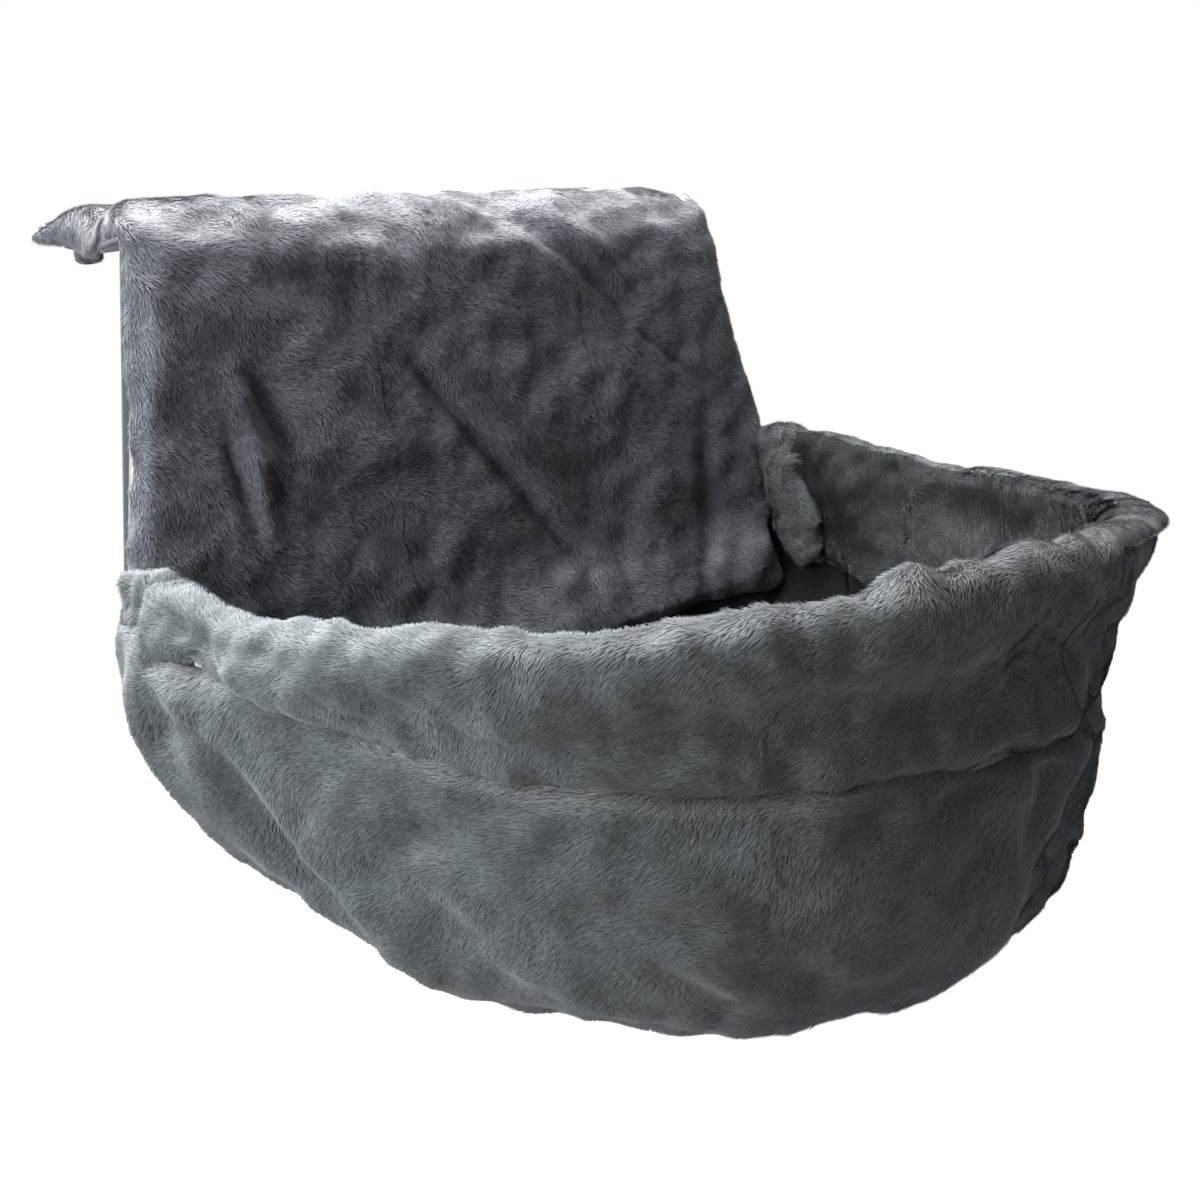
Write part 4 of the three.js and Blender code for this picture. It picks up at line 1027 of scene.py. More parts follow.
# Rim band: the roll over the hoop and the wide leg down to its seam
band = {
    "planPoints": 1400,
    "columns": 420,
    "rollSteps": 30,
    "legRows": 30,
    "halfRoll": 11 * mm,
    "proud": 1.5 * mm,
    "bulge": 3 * mm,
    "swell": 5 * mm,  # the roll stands further out at the right front corner
    "swellAt": 0.6,
    "swellRun": 0.05,
    "legSwellShare": 0.4,
    "fullness": 1.2,
    "seamTuck": 5 * mm,
    "seamRound": 10 * mm,
    "wall": 5 * mm,
    "tuck": 8 * mm,
    "tuckRun": 12 * mm,
    "backRows": 10,
    "backRise": 0.5 * mm,
    "innerLeg": 92 * mm,  # how far the plush runs down inside the pouch
    "innerRows": 26,
    "overLining": 2.5 * mm,
    "footTuck": 6 * mm,  # its foot dips into the lining
    "footTuckShare": 0.15,  # of the inner leg
    "frontShare": 0.66,  # of the roll, which has the outer plush; the rest has the lining's darker plush, painted shade
    "wrinkles": [(1.3 * mm, 48 * mm, 43), (0.6 * mm, 18 * mm, 44)],
    "calmUnder": 10 * mm,  # a roll drawn lower than this has fewer wrinkles
    "pile": {"perSquareMm": 2.2, "length": 3.5 * mm, "lift": 0.3, "ruffle": 0.7, "seed": 41},
}


# The part of the bag's plan that the band covers, from the left hinge round to the right one
def bandPlan():
    whole = planCurve(band["planPoints"])
    order = np.arange(band["planPoints"])[whole["y"] <= bandStartY]
    jumps = np.diff(order) > 1
    order = np.roll(order, -(int(np.argmax(jumps)) + 1) if jumps.any() else 0)
    wanted = np.linspace(0, len(order) - 1, band["columns"]).round().astype(int)
    return {key: values[order[wanted]] for key, values in whole.items()}


# The wide leg outside the bag, from the seam up to the hoop
def bandLeg(plan, rim, seam, swell):
    shares = np.linspace(0, 1, band["legRows"])[:, None]
    z = seam + (rim - seam) * shares
    wide = widened(plan, z.shape)
    roundIn = band["seamTuck"] * (1 - rounded((z - seam) / band["seamRound"]))
    pillow = (band["bulge"] + band["legSwellShare"] * swell) * np.sin(math.pi * shares) ** band["fullness"]
    outward = np.stack([wide["nx"], wide["ny"], np.zeros(z.shape)], -1)
    return wallPoint(wide, z, bag["pile"] - band["proud"]) + outward * (pillow - roundIn)[..., None]


# The roll over the hoop
def bandRoll(plan, rim, high, middleOut, swell):
    turns = np.linspace(0, math.pi, band["rollSteps"] + 2)[1:-1, None]
    out = middleOut + swell * np.cos(turns / 2) + band["halfRoll"] * np.cos(turns)
    x, y = plan["x"] + plan["nx"] * out, plan["y"] + plan["ny"] * out
    return np.stack([x, y, rim + high * np.sin(turns)], -1)


# The leg inside the bag: straight down from the roll, then along the lining
def bandInside(plan, rim, foot, out):
    drops = np.linspace(0, 1, band["innerRows"])[:, None]
    z = rim - drops * (rim - foot)
    wide = widened(plan, z.shape)
    straight = np.stack([wide["x"] + wide["nx"] * out, wide["y"] + wide["ny"] * out, z], -1)
    over = band["overLining"] - band["footTuck"] * smooth((drops - 1) / band["footTuckShare"] + 1)
    hung = wallPoint(wide, z, innerBag["inset"] + innerBag["wall"] + over)
    return straight + (hung - straight) * smooth(drops * 1.6)[..., None]


# The band's hidden side, from the inner leg's foot back to the seam
def bandBack(plan, seam, foot):
    z = seam + band["backRise"] + (foot - seam) * np.linspace(1, 0, band["backRows"])[:, None]
    deeper = band["tuck"] * smooth((seam - z) / band["tuckRun"])
    return wallPoint(widened(plan, z.shape), z, bag["pile"] - band["proud"] + band["wall"] + deeper)


def makeBand():
    plan = bandPlan()
    rim, seam = armHeight(plan["y"]), seamLevel(plan)
    high = rollTop(plan["share"]) - bag["pile"] * 0.6
    foot = rim + rollTop(plan["share"]) - band["innerLeg"]
    swell = band["swell"] * np.exp(-(((plan["share"] - band["swellAt"]) / band["swellRun"]) ** 2))
    middleOut = bag["rimDraw"] + band["proud"] - bag["pile"] - band["halfRoll"]
    leg = bandLeg(plan, rim, seam, swell)
    roll = bandRoll(plan, rim, high, middleOut, swell)
    inside = bandInside(plan, rim, foot, middleOut - band["halfRoll"])
    grid = np.concatenate([leg, roll, inside, bandBack(plan, seam, foot)]).transpose(1, 0, 2)
    rows = grid.shape[1]
    flat, flatNormals = grid.reshape(-1, 3), gridNormals(grid).reshape(-1, 3)
    turned = len(leg) + int(band["frontShare"] * len(roll))
    facing = np.zeros((2, band["columns"], rows))
    facing[0, :, :turned] = 1
    facing[1, :, turned : len(leg) + len(roll) + len(inside)] = 1
    facing = facing.reshape(2, -1)
    wrinkles = wrinkled(flat, band["wrinkles"]) * np.repeat(np.clip(high / band["calmUnder"], 0.3, 1), rows)
    folded = foldHeights(flat, flatNormals, outerFolds) * facing[0]
    folded += foldHeights(flat, flatNormals, liningFolds) * facing[1]
    moved = flat + flatNormals * (wrinkles * facing.sum(0) + folded)[:, None]
    last = (band["columns"] - 1) * rows
    faces = gridFaces(band["columns"], rows)
    faces += [tuple(range(rows)), tuple(last + i for i in reversed(range(rows)))]
    return meshObject("rimBand", moved, faces, pouchPlush), facing


rimBand, bandFacing = makeBand()
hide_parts("rim_band")
print("band made")


def growBandPile():
    points, normals = vertexArrays(rimBand)
    spec = band["pile"]
    nap = napField(points, normals, roundTheBag(points), straightDown, 80 * mm, spec["seed"])
    growParts("bandPile", rimBand, bandFacing[0], nap, spec, pouchPlush, ridesHoop, bagPlace, quarters)
    # the band's inner leg takes the lining's painted shade
    growParts("innerPile", rimBand, bandFacing[1], nap, spec, liningShadedPlush, ridesHoop, bagPlace, halves)


# painted highlight on the band's upward faces
paintHighlightOver(rimBand, 0.4)
growBandPile()
ridesHoop(rimBand)

# Sleeves: puffs of plush over the hinges, from the panel's sides to the rim's ends
sleeve = {
    "rows": 30,
    "sides": 56,
    "rear": -51 * mm,
    "half": 11.5 * mm,
    "squareness": 0.6,
    "endShare": 0.7,  # of its height left at its ends
    "rise": {-1: 5 * mm, 1: 12 * mm},
    "drop": {-1: 46 * mm, 1: 78 * mm},
    "lean": {-1: 0.0, 1: 0.28},  # how fast the rear edge runs forward as it goes down
    "endRound": 12 * mm,
    "overlap": 9 * mm,
    "rearReach": 11 * mm,  # it follows the panel from here back, seen from the hinge
    "frontReach": 16 * mm,  # and the hoop from here on
    "puffs": [(1.5 * mm, 24 * mm, 63), (0.8 * mm, 11 * mm, 65)],
    "pile": {"perSquareMm": 2.4, "length": 4.2 * mm, "lift": 0.4, "ruffle": 0.9, "seed": 61},
}


def bridgesHinge(piece):
    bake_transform(piece)


def makeSleeve(name, sign):
    rear, front = sleeve["rear"], bandStartY - sleeve["overlap"]
    y = np.linspace(rear, front, sleeve["rows"])[:, None]
    turns = np.linspace(0, 2 * math.pi, sleeve["sides"], endpoint=False)[None, :]
    gap = np.minimum(y - front, rear - y) / sleeve["endRound"]
    ends = rounded(np.maximum(gap, 0.03))
    top = armHeight(y) + sleeve["rise"][sign]
    low = np.full(y.shape, pivotZ - sleeve["drop"][sign])
    across, rise = (np.sign(t) * np.abs(t) ** sleeve["squareness"] for t in (np.cos(turns), np.sin(turns)))
    x = sign * (armX - 0.5 * mm) + sleeve["half"] * ends * across * sign
    z = (top + low) / 2 + (top - low) / 2 * (sleeve["endShare"] + (1 - sleeve["endShare"]) * ends) * rise
    forward = sleeve["lean"][sign] * (top - z) * (y - front) / (rear - front)
    grid = np.stack([x, y - forward, z], -1)
    flat, flatNormals = grid.reshape(-1, 3), gridNormals(grid).reshape(-1, 3)
    outward = flat - flat.mean(0)
    if (flatNormals * outward).sum(1).mean() < 0:
        flatNormals = -flatNormals
    puffs = wrinkled(flat, [(height, size, seed + sign) for height, size, seed in sleeve["puffs"]])
    moved = flat + flatNormals * puffs[:, None]
    return closedTube(name, moved.reshape(grid.shape), pouchPlush)


for name, sign in (("hingeSleeveLeft", -1), ("hingeSleeveRight", 1)):
    puff = makeSleeve(name, sign)
    points, normals = vertexArrays(puff)
    # painted highlight on the sleeve's upward faces
    paintHighlightOver(puff, 0.4)
    spec = sleeve["pile"]
    nap = napField(points, normals, roundTheBag(points), straightDown, 40 * mm, spec["seed"])
    growPile(name + "Pile", puff, np.ones(len(points)), nap, spec, pouchPlush, bridgesHinge, bagPlace)
    bridgesHinge(puff)
print("sleeves made")

# Back panel and flap: one padded slab of plush, bent over the top, puffed up by a cloth simulation
panel = {
    "columns": 110,
    "rows": 96,
    "sideRound": 5 * mm,
    "thickness": 10.5 * mm,
    "flapThicker": 4 * mm,
    "thickenRun": 30 * mm,
    "endInset": 2 * mm,
    "bracketDrop": 8 * mm,  # below this the sides stop running in
    "edgeShare": 0.4,  # of the thickness left at the slab's edge
    "bend": 22 * mm,
    "topHalf": 191 * mm,
    "lowHalf": armX + 9 * mm,
    "rightwards": 0.5 * mm,  # the right edge hangs further out
    "footHalf": armX - 3 * mm,
    "footDrop": 29 * mm,
    "footLean": 18 * mm,  # the foot lies in front of the pouch's rear wall
    "footRun": 62 * mm,
    "voxel": 4.5 * mm,
    "frames": 14,
    "cap": 5 * mm,
    "deepest": -5 * mm,  # of any crease
    "wrinkles": [(1.0 * mm, 70 * mm, 53), (0.6 * mm, 26 * mm, 54)],
    "cornerDrop": 6 * mm,
    "cornerReach": 44 * mm,
    "cornerPull": (-13 * mm, 12 * mm, -4 * mm),
    "leftLift": 4 * mm,  # the flap's left end stands higher at the rear
    "leftLiftFrom": -100 * mm,
    "leftLiftRun": 90 * mm,
    "droop": 8 * mm,  # the flap's left edge hangs down over the hook's end
    "droopFrom": 12 * mm,
    "droopSide": 10 * mm,
    "droopAt": 7 * mm,
    "droopRun": 34 * mm,
    "flapUnder": -20 * mm,  # what lies higher is the flap
    "tipThin": 7 * mm,  # taken off the underside of the corner
    "turnDown": 2.5 * mm,  # the flap's rear edge turns down behind the radiator
    "turnDownFrom": 26 * mm,
    "turnDownRun": 20 * mm,
    "rightSag": 3 * mm,  # the top edge lies lower towards the right
    "rightSagFrom": -60 * mm,
    "rightSagRun": 150 * mm,
    "sagDepth": 50 * mm,
    "pile": {"perSquareMm": 2.2, "length": 3.3 * mm, "lift": 0.32, "ruffle": 0.8, "seed": 51},
}


# The panel's section seen from the side: from the foot up, over the bend and along the flap
def panelPath(front, top, bend, foot, end, knee, rise, count):
    turns = np.linspace(math.pi, math.pi / 2, 16)
    arc = np.stack([front + bend + bend * np.cos(turns), top - bend + bend * np.sin(turns)], 1)
    path = np.vstack([[[front, foot]], arc, [[knee, top], [end, top + rise]]])
    lengths = pathLengths(path)
    places = np.linspace(0, lengths[-1], count) if np.isscalar(count) else count
    points = alongPath(places, lengths, path)
    along = np.gradient(points, places, axis=0)
    along /= np.linalg.norm(along, axis=1)[:, None]
    return points, np.stack([-along[:, 1], along[:, 0]], 1), places, lengths[-1]


def panelHalf(level):
    bracketLevel = pivotZ - panel["bracketDrop"]
    climb = np.clip((level - bracketLevel) / (flapTop - bracketLevel), 0, 1)
    half = panel["lowHalf"] + (panel["topHalf"] - panel["lowHalf"]) * climb
    foot = smooth((levelZ - level) / (levelZ - panelLow.z))
    return half + (panel["footHalf"] - panel["lowHalf"]) * foot


def closedSlab(name, front, back, material):
    rows, columns = front.shape[:2]
    count = rows * columns
    points = np.vstack([front.reshape(-1, 3), back.reshape(-1, 3)])
    faces = gridFaces(rows, columns, 0, False, True) + gridFaces(rows, columns, count, False)
    rim = list(range(columns))
    rim += [row * columns + columns - 1 for row in range(1, rows)]
    rim += [(rows - 1) * columns + i for i in reversed(range(columns - 1))]
    rim += [row * columns for row in reversed(range(1, rows - 1))]
    for i, j in zip(rim, rim[1:] + rim[:1]):
        faces.append((i, count + i, count + j, j))
    return turnOut(meshObject(name, points, faces, material))


def makePanelSlab():
    front, top = faceY + bag["pile"], flapTop - bag["pile"]
    foot, end = panelLow.z - panel["footDrop"], panelHigh.y - panel["endInset"]
    path = panelPath(front, top, panel["bend"], foot, end, flapKnee, flapRise, panel["rows"])
    points, outward, places, total = path
    points[:, 0] -= panel["footLean"] * smooth(1 - (points[:, 1] - foot) / panel["footRun"])
    half = panelHalf(points[:, 1])
    endGap = np.minimum(places, total - places) / panel["sideRound"]
    least = panel["edgeShare"] ** 2
    endShare = rounded(endGap, least)[:, None]
    across = np.linspace(-1, 1, panel["columns"])[None, :]
    x = half[:, None] * across
    sideGap = (half[:, None] - np.abs(x)) / panel["sideRound"]
    depth = panel["thickness"] + panel["flapThicker"] * smooth((points[:, 0] - rearY) / panel["thickenRun"])
    thick = depth[:, None] / 2 * np.minimum(rounded(sideGap, least), endShare)
    middle = points[:, None, :] - (outward * depth[:, None] / 2)[:, None, :]
    x = x + panel["rightwards"] * np.clip(across, 0, 1)
    skins = []
    for sign in (1, -1):
        offset = middle + outward[:, None, :] * (sign * thick)[..., None]
        skins.append(np.stack([x, np.broadcast_to(offset[..., 0], x.shape), offset[..., 1]], -1))
    return closedSlab("panelPlush", skins[0], skins[1], panelPlush)


def asPlainMesh(piece):
    evaluated = piece.evaluated_get(bpy.context.evaluated_depsgraph_get())
    mesh = bpy.data.meshes.new_from_object(evaluated)
    piece.modifiers.clear()
    old = piece.data
    piece.data = mesh
    bpy.data.meshes.remove(old)
    mesh.polygons.foreach_set("use_smooth", [True] * len(mesh.polygons))


# How squarely the panel's cloth faces the radiator: its rear, or the flap's underside
def towardsRadiator(points, normals):
    upright, overTop = points[:, 2] < -8 * mm, points[:, 1] > rearY - 4 * mm
    return np.where(upright, normals[:, 1], np.where(overTop, -normals[:, 2], 0))


clothSettings = {
    "use_pressure": True,
    "uniform_pressure_force": 4,
    "tension_stiffness": 12,
    "bending_stiffness": 0.3,
    "quality": 4,
}


# Swells a padded piece with pressure inside its cloth; no point moves further than the cap
def puffUp(piece, voxel, frames, cap):
    remesh = piece.modifiers.new("voxels", "REMESH")
    remesh.mode = "VOXEL"
    remesh.voxel_size = voxel
    bpy.context.view_layer.update()
    asPlainMesh(piece)
    rest, normals = vertexArrays(piece)
    cloth = piece.modifiers.new("puff", "CLOTH")
    for key, value in clothSettings.items():
        setattr(cloth.settings, key, value)
    cloth.settings.effector_weights.gravity = 0
    cloth.point_cache.frame_end = frames
    for step in range(1, frames + 1):
        bpy.context.scene.frame_set(step)
    evaluated = piece.evaluated_get(bpy.context.evaluated_depsgraph_get())
    moved = np.zeros(len(rest) * 3)
    evaluated.data.vertices.foreach_get("co", moved)
    shift = moved.reshape(-1, 3) - rest
    piece.modifiers.remove(cloth)
    bpy.context.scene.frame_set(1)
    length = np.linalg.norm(shift, axis=1)[:, None]
    shift = shift * (np.tanh(length / cap) * cap / np.maximum(length, 1e-9))
    rearward = towardsRadiator(rest, normals) > 0.3
    outwards = np.maximum((shift * normals).sum(1), 0) * rearward
    shift -= normals * outwards[:, None]
    piece.data.vertices.foreach_set("co", (rest + shift).ravel())
    print(piece.name, "puffed, largest move in mm", round(float(length.max()) / mm, 1))
    smoother = piece.modifiers.new("finer", "SUBSURF")
    smoother.levels = smoother.render_levels = 1
    bpy.context.view_layer.update()
    asPlainMesh(piece)


def makePanel():
    piece = makePanelSlab()
    puffUp(piece, panel["voxel"], panel["frames"], panel["cap"])
    points, normals = vertexArrays(piece)
    shown = 1 - smooth((towardsRadiator(points, normals) - 0.35) / 0.5)
    folded = np.maximum(foldHeights(points, normals, panelFolds), panel["deepest"])
    points = points + normals * ((wrinkled(points, panel["wrinkles"]) + folded) * shown)[:, None]
    # the flap's left rear corner is loose and runs out to a point
    cornerLevel = flapTop + flapRise - panel["cornerDrop"]
    corner = np.array([-panel["topHalf"], panelHigh.y - panel["endInset"], cornerLevel])
    gap = np.linalg.norm(points - corner, axis=1) / panel["cornerReach"]
    pull = (1 - np.clip(gap, 0, 1)) ** 2
    points = points + pull[:, None] * np.array(panel["cornerPull"])
    rearward = smooth((points[:, 1] - rearY) / (60 * mm))
    leftward = smooth((panel["leftLiftFrom"] - points[:, 0]) / panel["leftLiftRun"])
    points[:, 2] += panel["leftLift"] * leftward * rearward
    besides = smooth((-panel["topHalf"] + panel["droopFrom"] - points[:, 0]) / panel["droopSide"])
    lowerHalf = smooth((flapTop - points[:, 2]) / panel["thickness"]) * (points[:, 2] > panel["flapUnder"])
    along = np.exp(-(((points[:, 1] - panel["droopAt"]) / panel["droopRun"]) ** 2))
    points[:, 2] += (panel["tipThin"] * pull - panel["droop"] * besides * along * (1 - pull)) * lowerHalf
    points[:, 2] -= panel["turnDown"] * smooth((points[:, 1] - panel["turnDownFrom"]) / panel["turnDownRun"])
    rightward = smooth((points[:, 0] - panel["rightSagFrom"]) / panel["rightSagRun"])
    upward = smooth((points[:, 2] + panel["sagDepth"]) / panel["sagDepth"])
    points[:, 2] -= panel["rightSag"] * rightward * upward
    piece.data.vertices.foreach_set("co", points.ravel())
    piece.data.update()
    return piece, shown


backPanel, panelFacing = makePanel()
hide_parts("back_panel_plush", "panel_padding")
print("panel made")


def growPanelPile():
    points, normals = vertexArrays(backPanel)
    edge = smooth((np.abs(points[:, 0]) - (panel["topHalf"] - 20 * mm)) / (30 * mm))
    downward = np.tile([0.25, -0.1, -1.0], (len(points), 1))
    downward[:, 0] += np.sign(points[:, 0]) * edge * 0.6
    spec = panel["pile"]
    nap = napField(points, normals, downward, np.array([1.0, 0, 0]), 70 * mm, spec["seed"], 0.5)
    growParts("panelPile", backPanel, panelFacing, nap, spec, panelPlush, ridesHanger, panelPlace, thirds)


# the strongest painted highlight, over the panel's top bend and flap, reaching towards its rear edge
paintHighlightOver(backPanel, 0.8, 0.05, 0.72, (-0.12, 0.2, 1.0))
growPanelPile()
ridesHanger(backPanel)

# Backing cloth behind the panel and under the flap, with a slot for the zip
backing = {
    "columns": 121,
    "footRows": 4,  # up to the zip's slot
    "slotRows": 3,
    "topRows": 103,
    "wall": 2.2 * mm,
    "slotHalf": 156 * mm,
    "slotRise": 6 * mm,
    "wrinkle": 0.5 * mm,
    "margin": 6 * mm,  # between its edge and the panel's
    "inset": 1 * mm,  # of its foot and its end
    "bend": 2 * mm,
    "beyondArms": 8 * mm,
    "sideColumns": 12,
    "calmEdge": 20 * mm,
}
tapes = [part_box("zip_tape_upper"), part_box("zip_tape_lower")]
zipLevel = (tapes[1][0].z + tapes[0][1].z) / 2


def makeBacking():
    foot, end = liningLow.z + backing["inset"], liningHigh.y - backing["inset"]
    route = (rearY, 0, backing["bend"], foot, end, flapKnee, flapRise)
    _, _, _, total = panelPath(*route, 10)
    slotPlaces = [zipLevel + side * backing["slotRise"] - foot for side in (-1, 1)]
    ends, steps = [0, *slotPlaces, total], [backing["footRows"], backing["slotRows"], backing["topRows"]]
    spans = zip(ends, ends[1:], steps)
    places = np.concatenate([np.linspace(a, b, n + 1)[:-1] for a, b, n in spans] + [[total]])
    points, outward, _, _ = panelPath(*route, places)
    half = np.minimum(panelHalf(points[:, 1]) - backing["margin"], armX + backing["beyondArms"])[:, None]
    side = np.linspace(0, 1, backing["sideColumns"])[None, :]
    reach = backing["slotHalf"] + (half - backing["slotHalf"]) * side
    middleColumns = backing["columns"] - 2 * (backing["sideColumns"] - 1)
    middle = np.linspace(-backing["slotHalf"], backing["slotHalf"], middleColumns)
    x = np.hstack([-reach[:, ::-1][:, :-1], np.tile(middle, (len(places), 1)), reach[:, 1:]])
    wide = np.broadcast_to(points[:, None, :], (*x.shape, 2))
    outer = np.stack([x, wide[..., 0], wide[..., 1]], -1)
    way = np.stack([np.zeros_like(x), *[np.broadcast_to(outward[:, i : i + 1], x.shape) for i in (0, 1)]], -1)
    ripple = softNoise(outer.reshape(-1, 3) * np.array([1, 1, 0.6]), 34 * mm, 71).reshape(x.shape)
    edge = np.minimum(1, (half - np.abs(x)) / backing["calmEdge"])
    outer = outer + way * (backing["wrinkle"] * (1 + ripple.clip(-1, 1)) * edge)[..., None]
    inner = outer + way * backing["wall"]
    rows, columns = x.shape
    count = rows * columns
    inSlot = np.abs(x) < backing["slotHalf"] - 1e-6
    cells = np.zeros((rows - 1, columns - 1), bool)
    for row in range(backing["footRows"], backing["footRows"] + backing["slotRows"]):
        cells[row] = inSlot[row, :-1] | inSlot[row, 1:]
    faces = []
    for row in range(rows - 1):
        for i in range(columns - 1):
            if cells[row, i]:
                continue
            a, b = row * columns + i, row * columns + i + 1
            c, d = b + columns, a + columns
            faces.append((a, b, c, d))
            faces.append((count + a, count + d, count + c, count + b))
            sides = [
                (a, b, row == 0 or cells[row - 1, i]),
                (b, c, i == columns - 2 or cells[row, i + 1]),
                (c, d, row == rows - 2 or cells[row + 1, i]),
                (d, a, i == 0 or cells[row, i - 1]),
            ]
            faces += [(q, p, count + p, count + q) for p, q, open_ in sides if open_]
    points = np.vstack([outer.reshape(-1, 3), inner.reshape(-1, 3)])
    piece = meshObject("backCloth", points, faces, backingCloth)
    used = np.zeros(2 * count, bool)
    used[[i for face in faces for i in face]] = True
    cleaner = bmesh.new()
    cleaner.from_mesh(piece.data)
    cleaner.verts.ensure_lookup_table()
    bmesh.ops.delete(cleaner, geom=[cleaner.verts[i] for i in np.where(~used)[0]], context="VERTS")
    cleaner.to_mesh(piece.data)
    cleaner.free()
    turnOut(piece)
    width = 2 * float(half.max())
    area = float(((half[1:, 0] + half[:-1, 0]) * np.diff(places)).sum())
    area -= 2 * backing["slotHalf"] * 2 * backing["slotRise"]
    return piece, (width, total), area, outer


backCloth, clothFlat, clothArea, clothFace = makeBacking()
ridesHanger(backCloth)
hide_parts("back_lining")
print("backing cloth made")


# Rows of one small piece along a line: stitches and the zip's coil
def makeRowTree():
    sockets = {"Line": "Geometry", "Spacing": "Float", "Piece": "Object", "Finish": "Material"}
    tree, start = newTree("rowOfPieces", sockets, "Row")
    curve = addNode(tree, "GeometryNodeMeshToCurve", inputs={"Mesh": start["Line"]}).outputs[0]
    spaced = {"Curve": curve, "Length": start["Spacing"]}
    even = addNode(tree, "GeometryNodeResampleCurve", {"mode": "LENGTH"}, spaced).outputs[0]
    tangent = addNode(tree, "GeometryNodeInputTangent").outputs[0]
    turned = addNode(tree, "FunctionNodeAlignRotationToVector", {"axis": "X"}, {"Vector": tangent}).outputs[0]
    piece = addNode(tree, "GeometryNodeObjectInfo", inputs={"Object": start["Piece"]}).outputs["Geometry"]
    copies = {"Points": even, "Instance": piece, "Rotation": turned}
    placed = addNode(tree, "GeometryNodeInstanceOnPoints", inputs=copies).outputs[0]
    real = addNode(tree, "GeometryNodeRealizeInstances", inputs={"Geometry": placed}).outputs[0]
    done = addNode(tree, "GeometryNodeSetMaterial", inputs={"Geometry": real, "Material": start["Finish"]})
    addNode(tree, "NodeGroupOutput", inputs={"Row": done.outputs[0]})
    return tree


rowTree = makeRowTree()


def makeLoop(name, length, wide, high, sides=6):
    rings = [(-0.5, 0.0), (-0.38, 0.75), (0, 1.0), (0.38, 0.75), (0.5, 0.0)]
    points, faces = [], []
    for along, share in rings:
        if share == 0:
            points.append((along * length, 0, 0))
            continue
        for i in range(sides):
            turn = 2 * math.pi * i / sides
            y, z = math.cos(turn) * share * wide / 2, math.sin(turn) * share * high / 2
            points.append((along * length, y, z))
    for i in range(sides):
        j = (i + 1) % sides
        faces.append((0, 1 + j, 1 + i))
        for ring in (0, 1):
            a = 1 + ring * sides
            faces.append((a + i, a + j, a + sides + j, a + sides + i))
        faces.append((1 + 2 * sides + i, 1 + 2 * sides + j, 1 + 3 * sides))
    mesh = bpy.data.meshes.new(name)
    mesh.from_pydata(points, [], faces)
    mesh.polygons.foreach_set("use_smooth", [True] * len(mesh.polygons))
    return bpy.data.objects.new(name, mesh)


def growRow(name, paths, spacing, unit, finish):
    points = np.vstack(paths)
    edges, start = [], 0
    for path in paths:
        edges += [(start + i, start + i + 1) for i in range(len(path) - 1)]
        start += len(path)
    mesh = bpy.data.meshes.new(name + "Line")
    mesh.from_pydata([tuple(p) for p in points], edges, [])
    carrier = addObject(name + "Line", mesh)
    piece = grownPiece(name, carrier, rowTree, {"Spacing": spacing, "Piece": unit, "Finish": finish})
    bpy.data.objects.remove(carrier)
    ridesHanger(piece)
    print(name, len(piece.data.polygons), "faces")


stitchUnit = makeLoop("stitch", 3.1 * mm, 0.7 * mm, 0.7 * mm)
coilUnit = makeLoop("coilLoop", 0.95 * mm, 2.7 * mm, 2.45 * mm)


def growStitches():
    proud = np.array([0, 0.15 * mm, -0.15 * mm])
    edges = [clothFace[2:-2, 1], clothFace[2:-2, -2], clothFace[-3, 2:-2], clothFace[1, 2:-2]]
    reach, rise = backing["slotHalf"] + 3 * mm, backing["slotRise"] + 2.5 * mm
    corners = [(-1, -1), (1, -1), (1, 1), (-1, 1), (-1, -1)]
    slot = np.array([(side * reach, rearY + 0.1 * mm, zipLevel + up * rise) for side, up in corners])
    lines = [edge + proud for edge in edges] + [slot]
    growRow("backStitches", lines, 4.2 * mm, stitchUnit, stitchThread)


growStitches()
coilLines = []
coilGap = 2.0 * mm  # from the zip's middle to each half of the coil
for (low, high), side in zip(tapes, (1, -1)):
    level = zipLevel + side * coilGap
    middle = (low.y + high.y) / 2
    coilLines.append(np.array([[low.x + 1 * mm, middle, level], [high.x - 1 * mm, middle, level]]))
growRow("zipCoil", coilLines, 1.15 * mm, coilUnit, coilNylon)


# Pockets under the flap: soft cups of plush over the hooks' ends
pocket = {
    "profile": [  # share of the radius and of the height: up outside, then down inside
        (0.03, 0), (0.45, 0.01), (0.78, 0.06), (0.95, 0.2), (1, 0.42), (0.99, 0.7), (0.97, 0.92),
        (0.9, 1), (0.8, 0.97), (0.76, 0.8), (0.76, 0.45), (0.6, 0.3), (0.3, 0.27), (0.03, 0.27),
    ],
    "sides": 48,
    "puckers": 9,
    "pucker": 0.035,  # share of the radius
    "pile": {"perSquareMm": 2.2, "length": 1.6 * mm, "lift": 0.6, "ruffle": 0.5, "seed": 83},
}


def makePocket(name, node):
    low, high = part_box(node)
    middle = (low + high) / 2
    radius, height = (high.x - low.x) / 2, high.z - low.z
    turns = np.linspace(0, 2 * math.pi, pocket["sides"], endpoint=False)
    rings = []
    for share, rise in pocket["profile"]:
        puckers = pocket["pucker"] * np.sin(turns * pocket["puckers"] + 3 * rise) * (share > 0.4)
        out = share * radius * (1 + puckers)
        level = np.full(len(turns), low.z + rise * height)
        rings.append(np.stack([middle.x + out * np.cos(turns), middle.y + out * np.sin(turns), level], 1))
    piece = closedTube(name, np.stack(rings), pouchPlush)
    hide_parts(node)
    points, normals = vertexArrays(piece)
    shown = (points[:, 2] < low.z + 0.5 * height) * (normals[:, 2] < 0.5) * 1.0
    upwards = np.tile([0, 0, 1.0], (len(points), 1))
    nap = napField(points, normals, upwards, np.array([1.0, 0, 0]), 9 * mm, 81)
    growPile(name + "Pile", piece, shown, nap, pocket["pile"], pouchPlush, ridesHanger, panelPlace)
    ridesHanger(piece)


makePocket("hookPocketLeft", "hook_pocket_left")
makePocket("hookPocketRight", "hook_pocket_right")
print("pockets made")

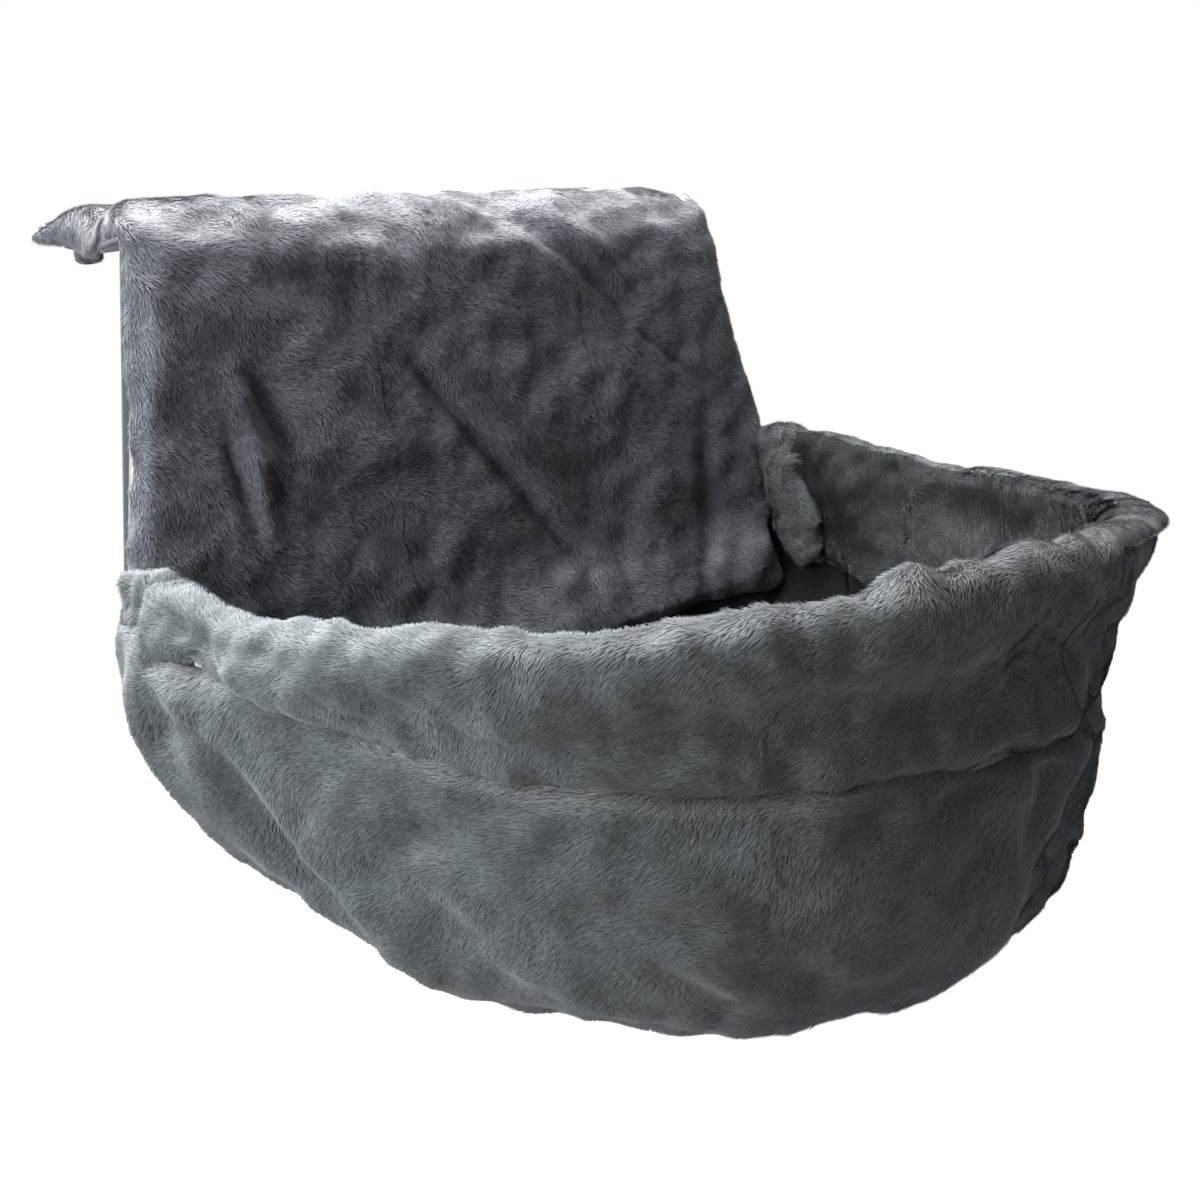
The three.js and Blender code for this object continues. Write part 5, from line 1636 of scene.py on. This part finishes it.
# CAD pieces that keep their shape get their finish
finishes = {
    wireSteel: ("hook_rod", "cross_rod", "hoop_rod", "hinge_bracket", "hinge_rivet"),
    naturalNylon: ("hinge_washer",),
    softVinyl: ("hook_cap",),
    enamelledZinc: ("zip_slider", "zip_pull", "zip_stop"),
    zipCloth: ("zip_tape",),
}
for material, names in finishes.items():
    for name, node in frame["nodes"].items():
        if any(part in name for part in names):
            node.data.materials.clear()
            node.data.materials.append(material)
print("frame finished")

# Floor, backdrop and lights
studio = {
    "floorDrop": 120 * mm,
    "floorSide": 12.0,
    "floorGlow": 0.95,
    "ambient": 0.035,
}


# One where a ray meets the floor or the sky directly, in a shine or through a gap, nought elsewhere
def seenDirectly(tree):
    rays = addNode(tree, "ShaderNodeLightPath").outputs
    total = rays["Is Camera Ray"]
    for kind in ("Is Glossy Ray", "Is Transmission Ray"):
        total = addNode(tree, "ShaderNodeMath", {"operation": "MAXIMUM"}, {0: total, 1: rays[kind]}).outputs[0]
    return total


def makeStudio():
    mesh = bpy.data.meshes.new("floor")
    half = studio["floorSide"] / 2
    z = cadBox[0].z - studio["floorDrop"]
    corners = [(-half, -half, z), (half, -half, z), (half, half, z), (-half, half, z)]
    mesh.from_pydata(corners, [], [(0, 1, 2, 3)])
    floor = addObject("floor", mesh)
    material, tree, shader = newMaterial("whiteFloor", Roughness=0.9)
    shader.inputs["Base Color"].default_value = colour("#969696")
    glow = {0: seenDirectly(tree), 1: studio["floorGlow"]}
    strength = addNode(tree, "ShaderNodeMath", {"operation": "MULTIPLY"}, glow).outputs[0]
    tree.links.new(strength, shader.inputs["Emission Strength"])
    shader.inputs["Emission Color"].default_value = (1, 1, 1, 1)
    mesh.materials.append(material)
    world = bpy.data.worlds.new("studio")
    world.use_nodes = True
    bpy.context.scene.world = world
    tree = world.node_tree
    tree.nodes.clear()
    span = {"Value": seenDirectly(tree), "To Min": studio["ambient"], "To Max": 1.0}
    level = addNode(tree, "ShaderNodeMapRange", inputs=span).outputs[0]
    sky = addNode(tree, "ShaderNodeBackground", inputs={"Color": (1, 1, 1, 1), "Strength": level})
    addNode(tree, "ShaderNodeOutputWorld", inputs={"Surface": sky.outputs[0]})


lamps = [
    {"name": "leftBox", "way": (-1.0, 0.05, 0.5), "away": 1.3, "side": 0.9, "watts": 32},
    {"name": "topBox", "way": (-0.15, 0.3, 1.0), "away": 1.2, "side": 1.0, "watts": 46},
    {"name": "frontBox", "way": (0.15, -1.0, 0.25), "away": 1.6, "side": 1.2, "watts": 1.5},
    {"name": "rearBox", "way": (1.0, 0.4, 0.15), "away": 1.3, "side": 0.8, "watts": 8},
]


def makeLamps():
    centre = (Vector(cadBox[0]) + Vector(cadBox[1])) / 2
    for lamp in lamps:
        data = bpy.data.lights.new(lamp["name"], "AREA")
        data.size = lamp["side"]
        data.energy = lamp["watts"]
        way = Vector(lamp["way"]).normalized()
        light = addObject(lamp["name"], data)
        light.location = centre + way * lamp["away"]
        light.rotation_euler = way.to_track_quat("Z", "Y").to_euler()


makeStudio()
makeLamps()
bpy.context.scene.view_settings.view_transform = "Standard"
print("studio lit")
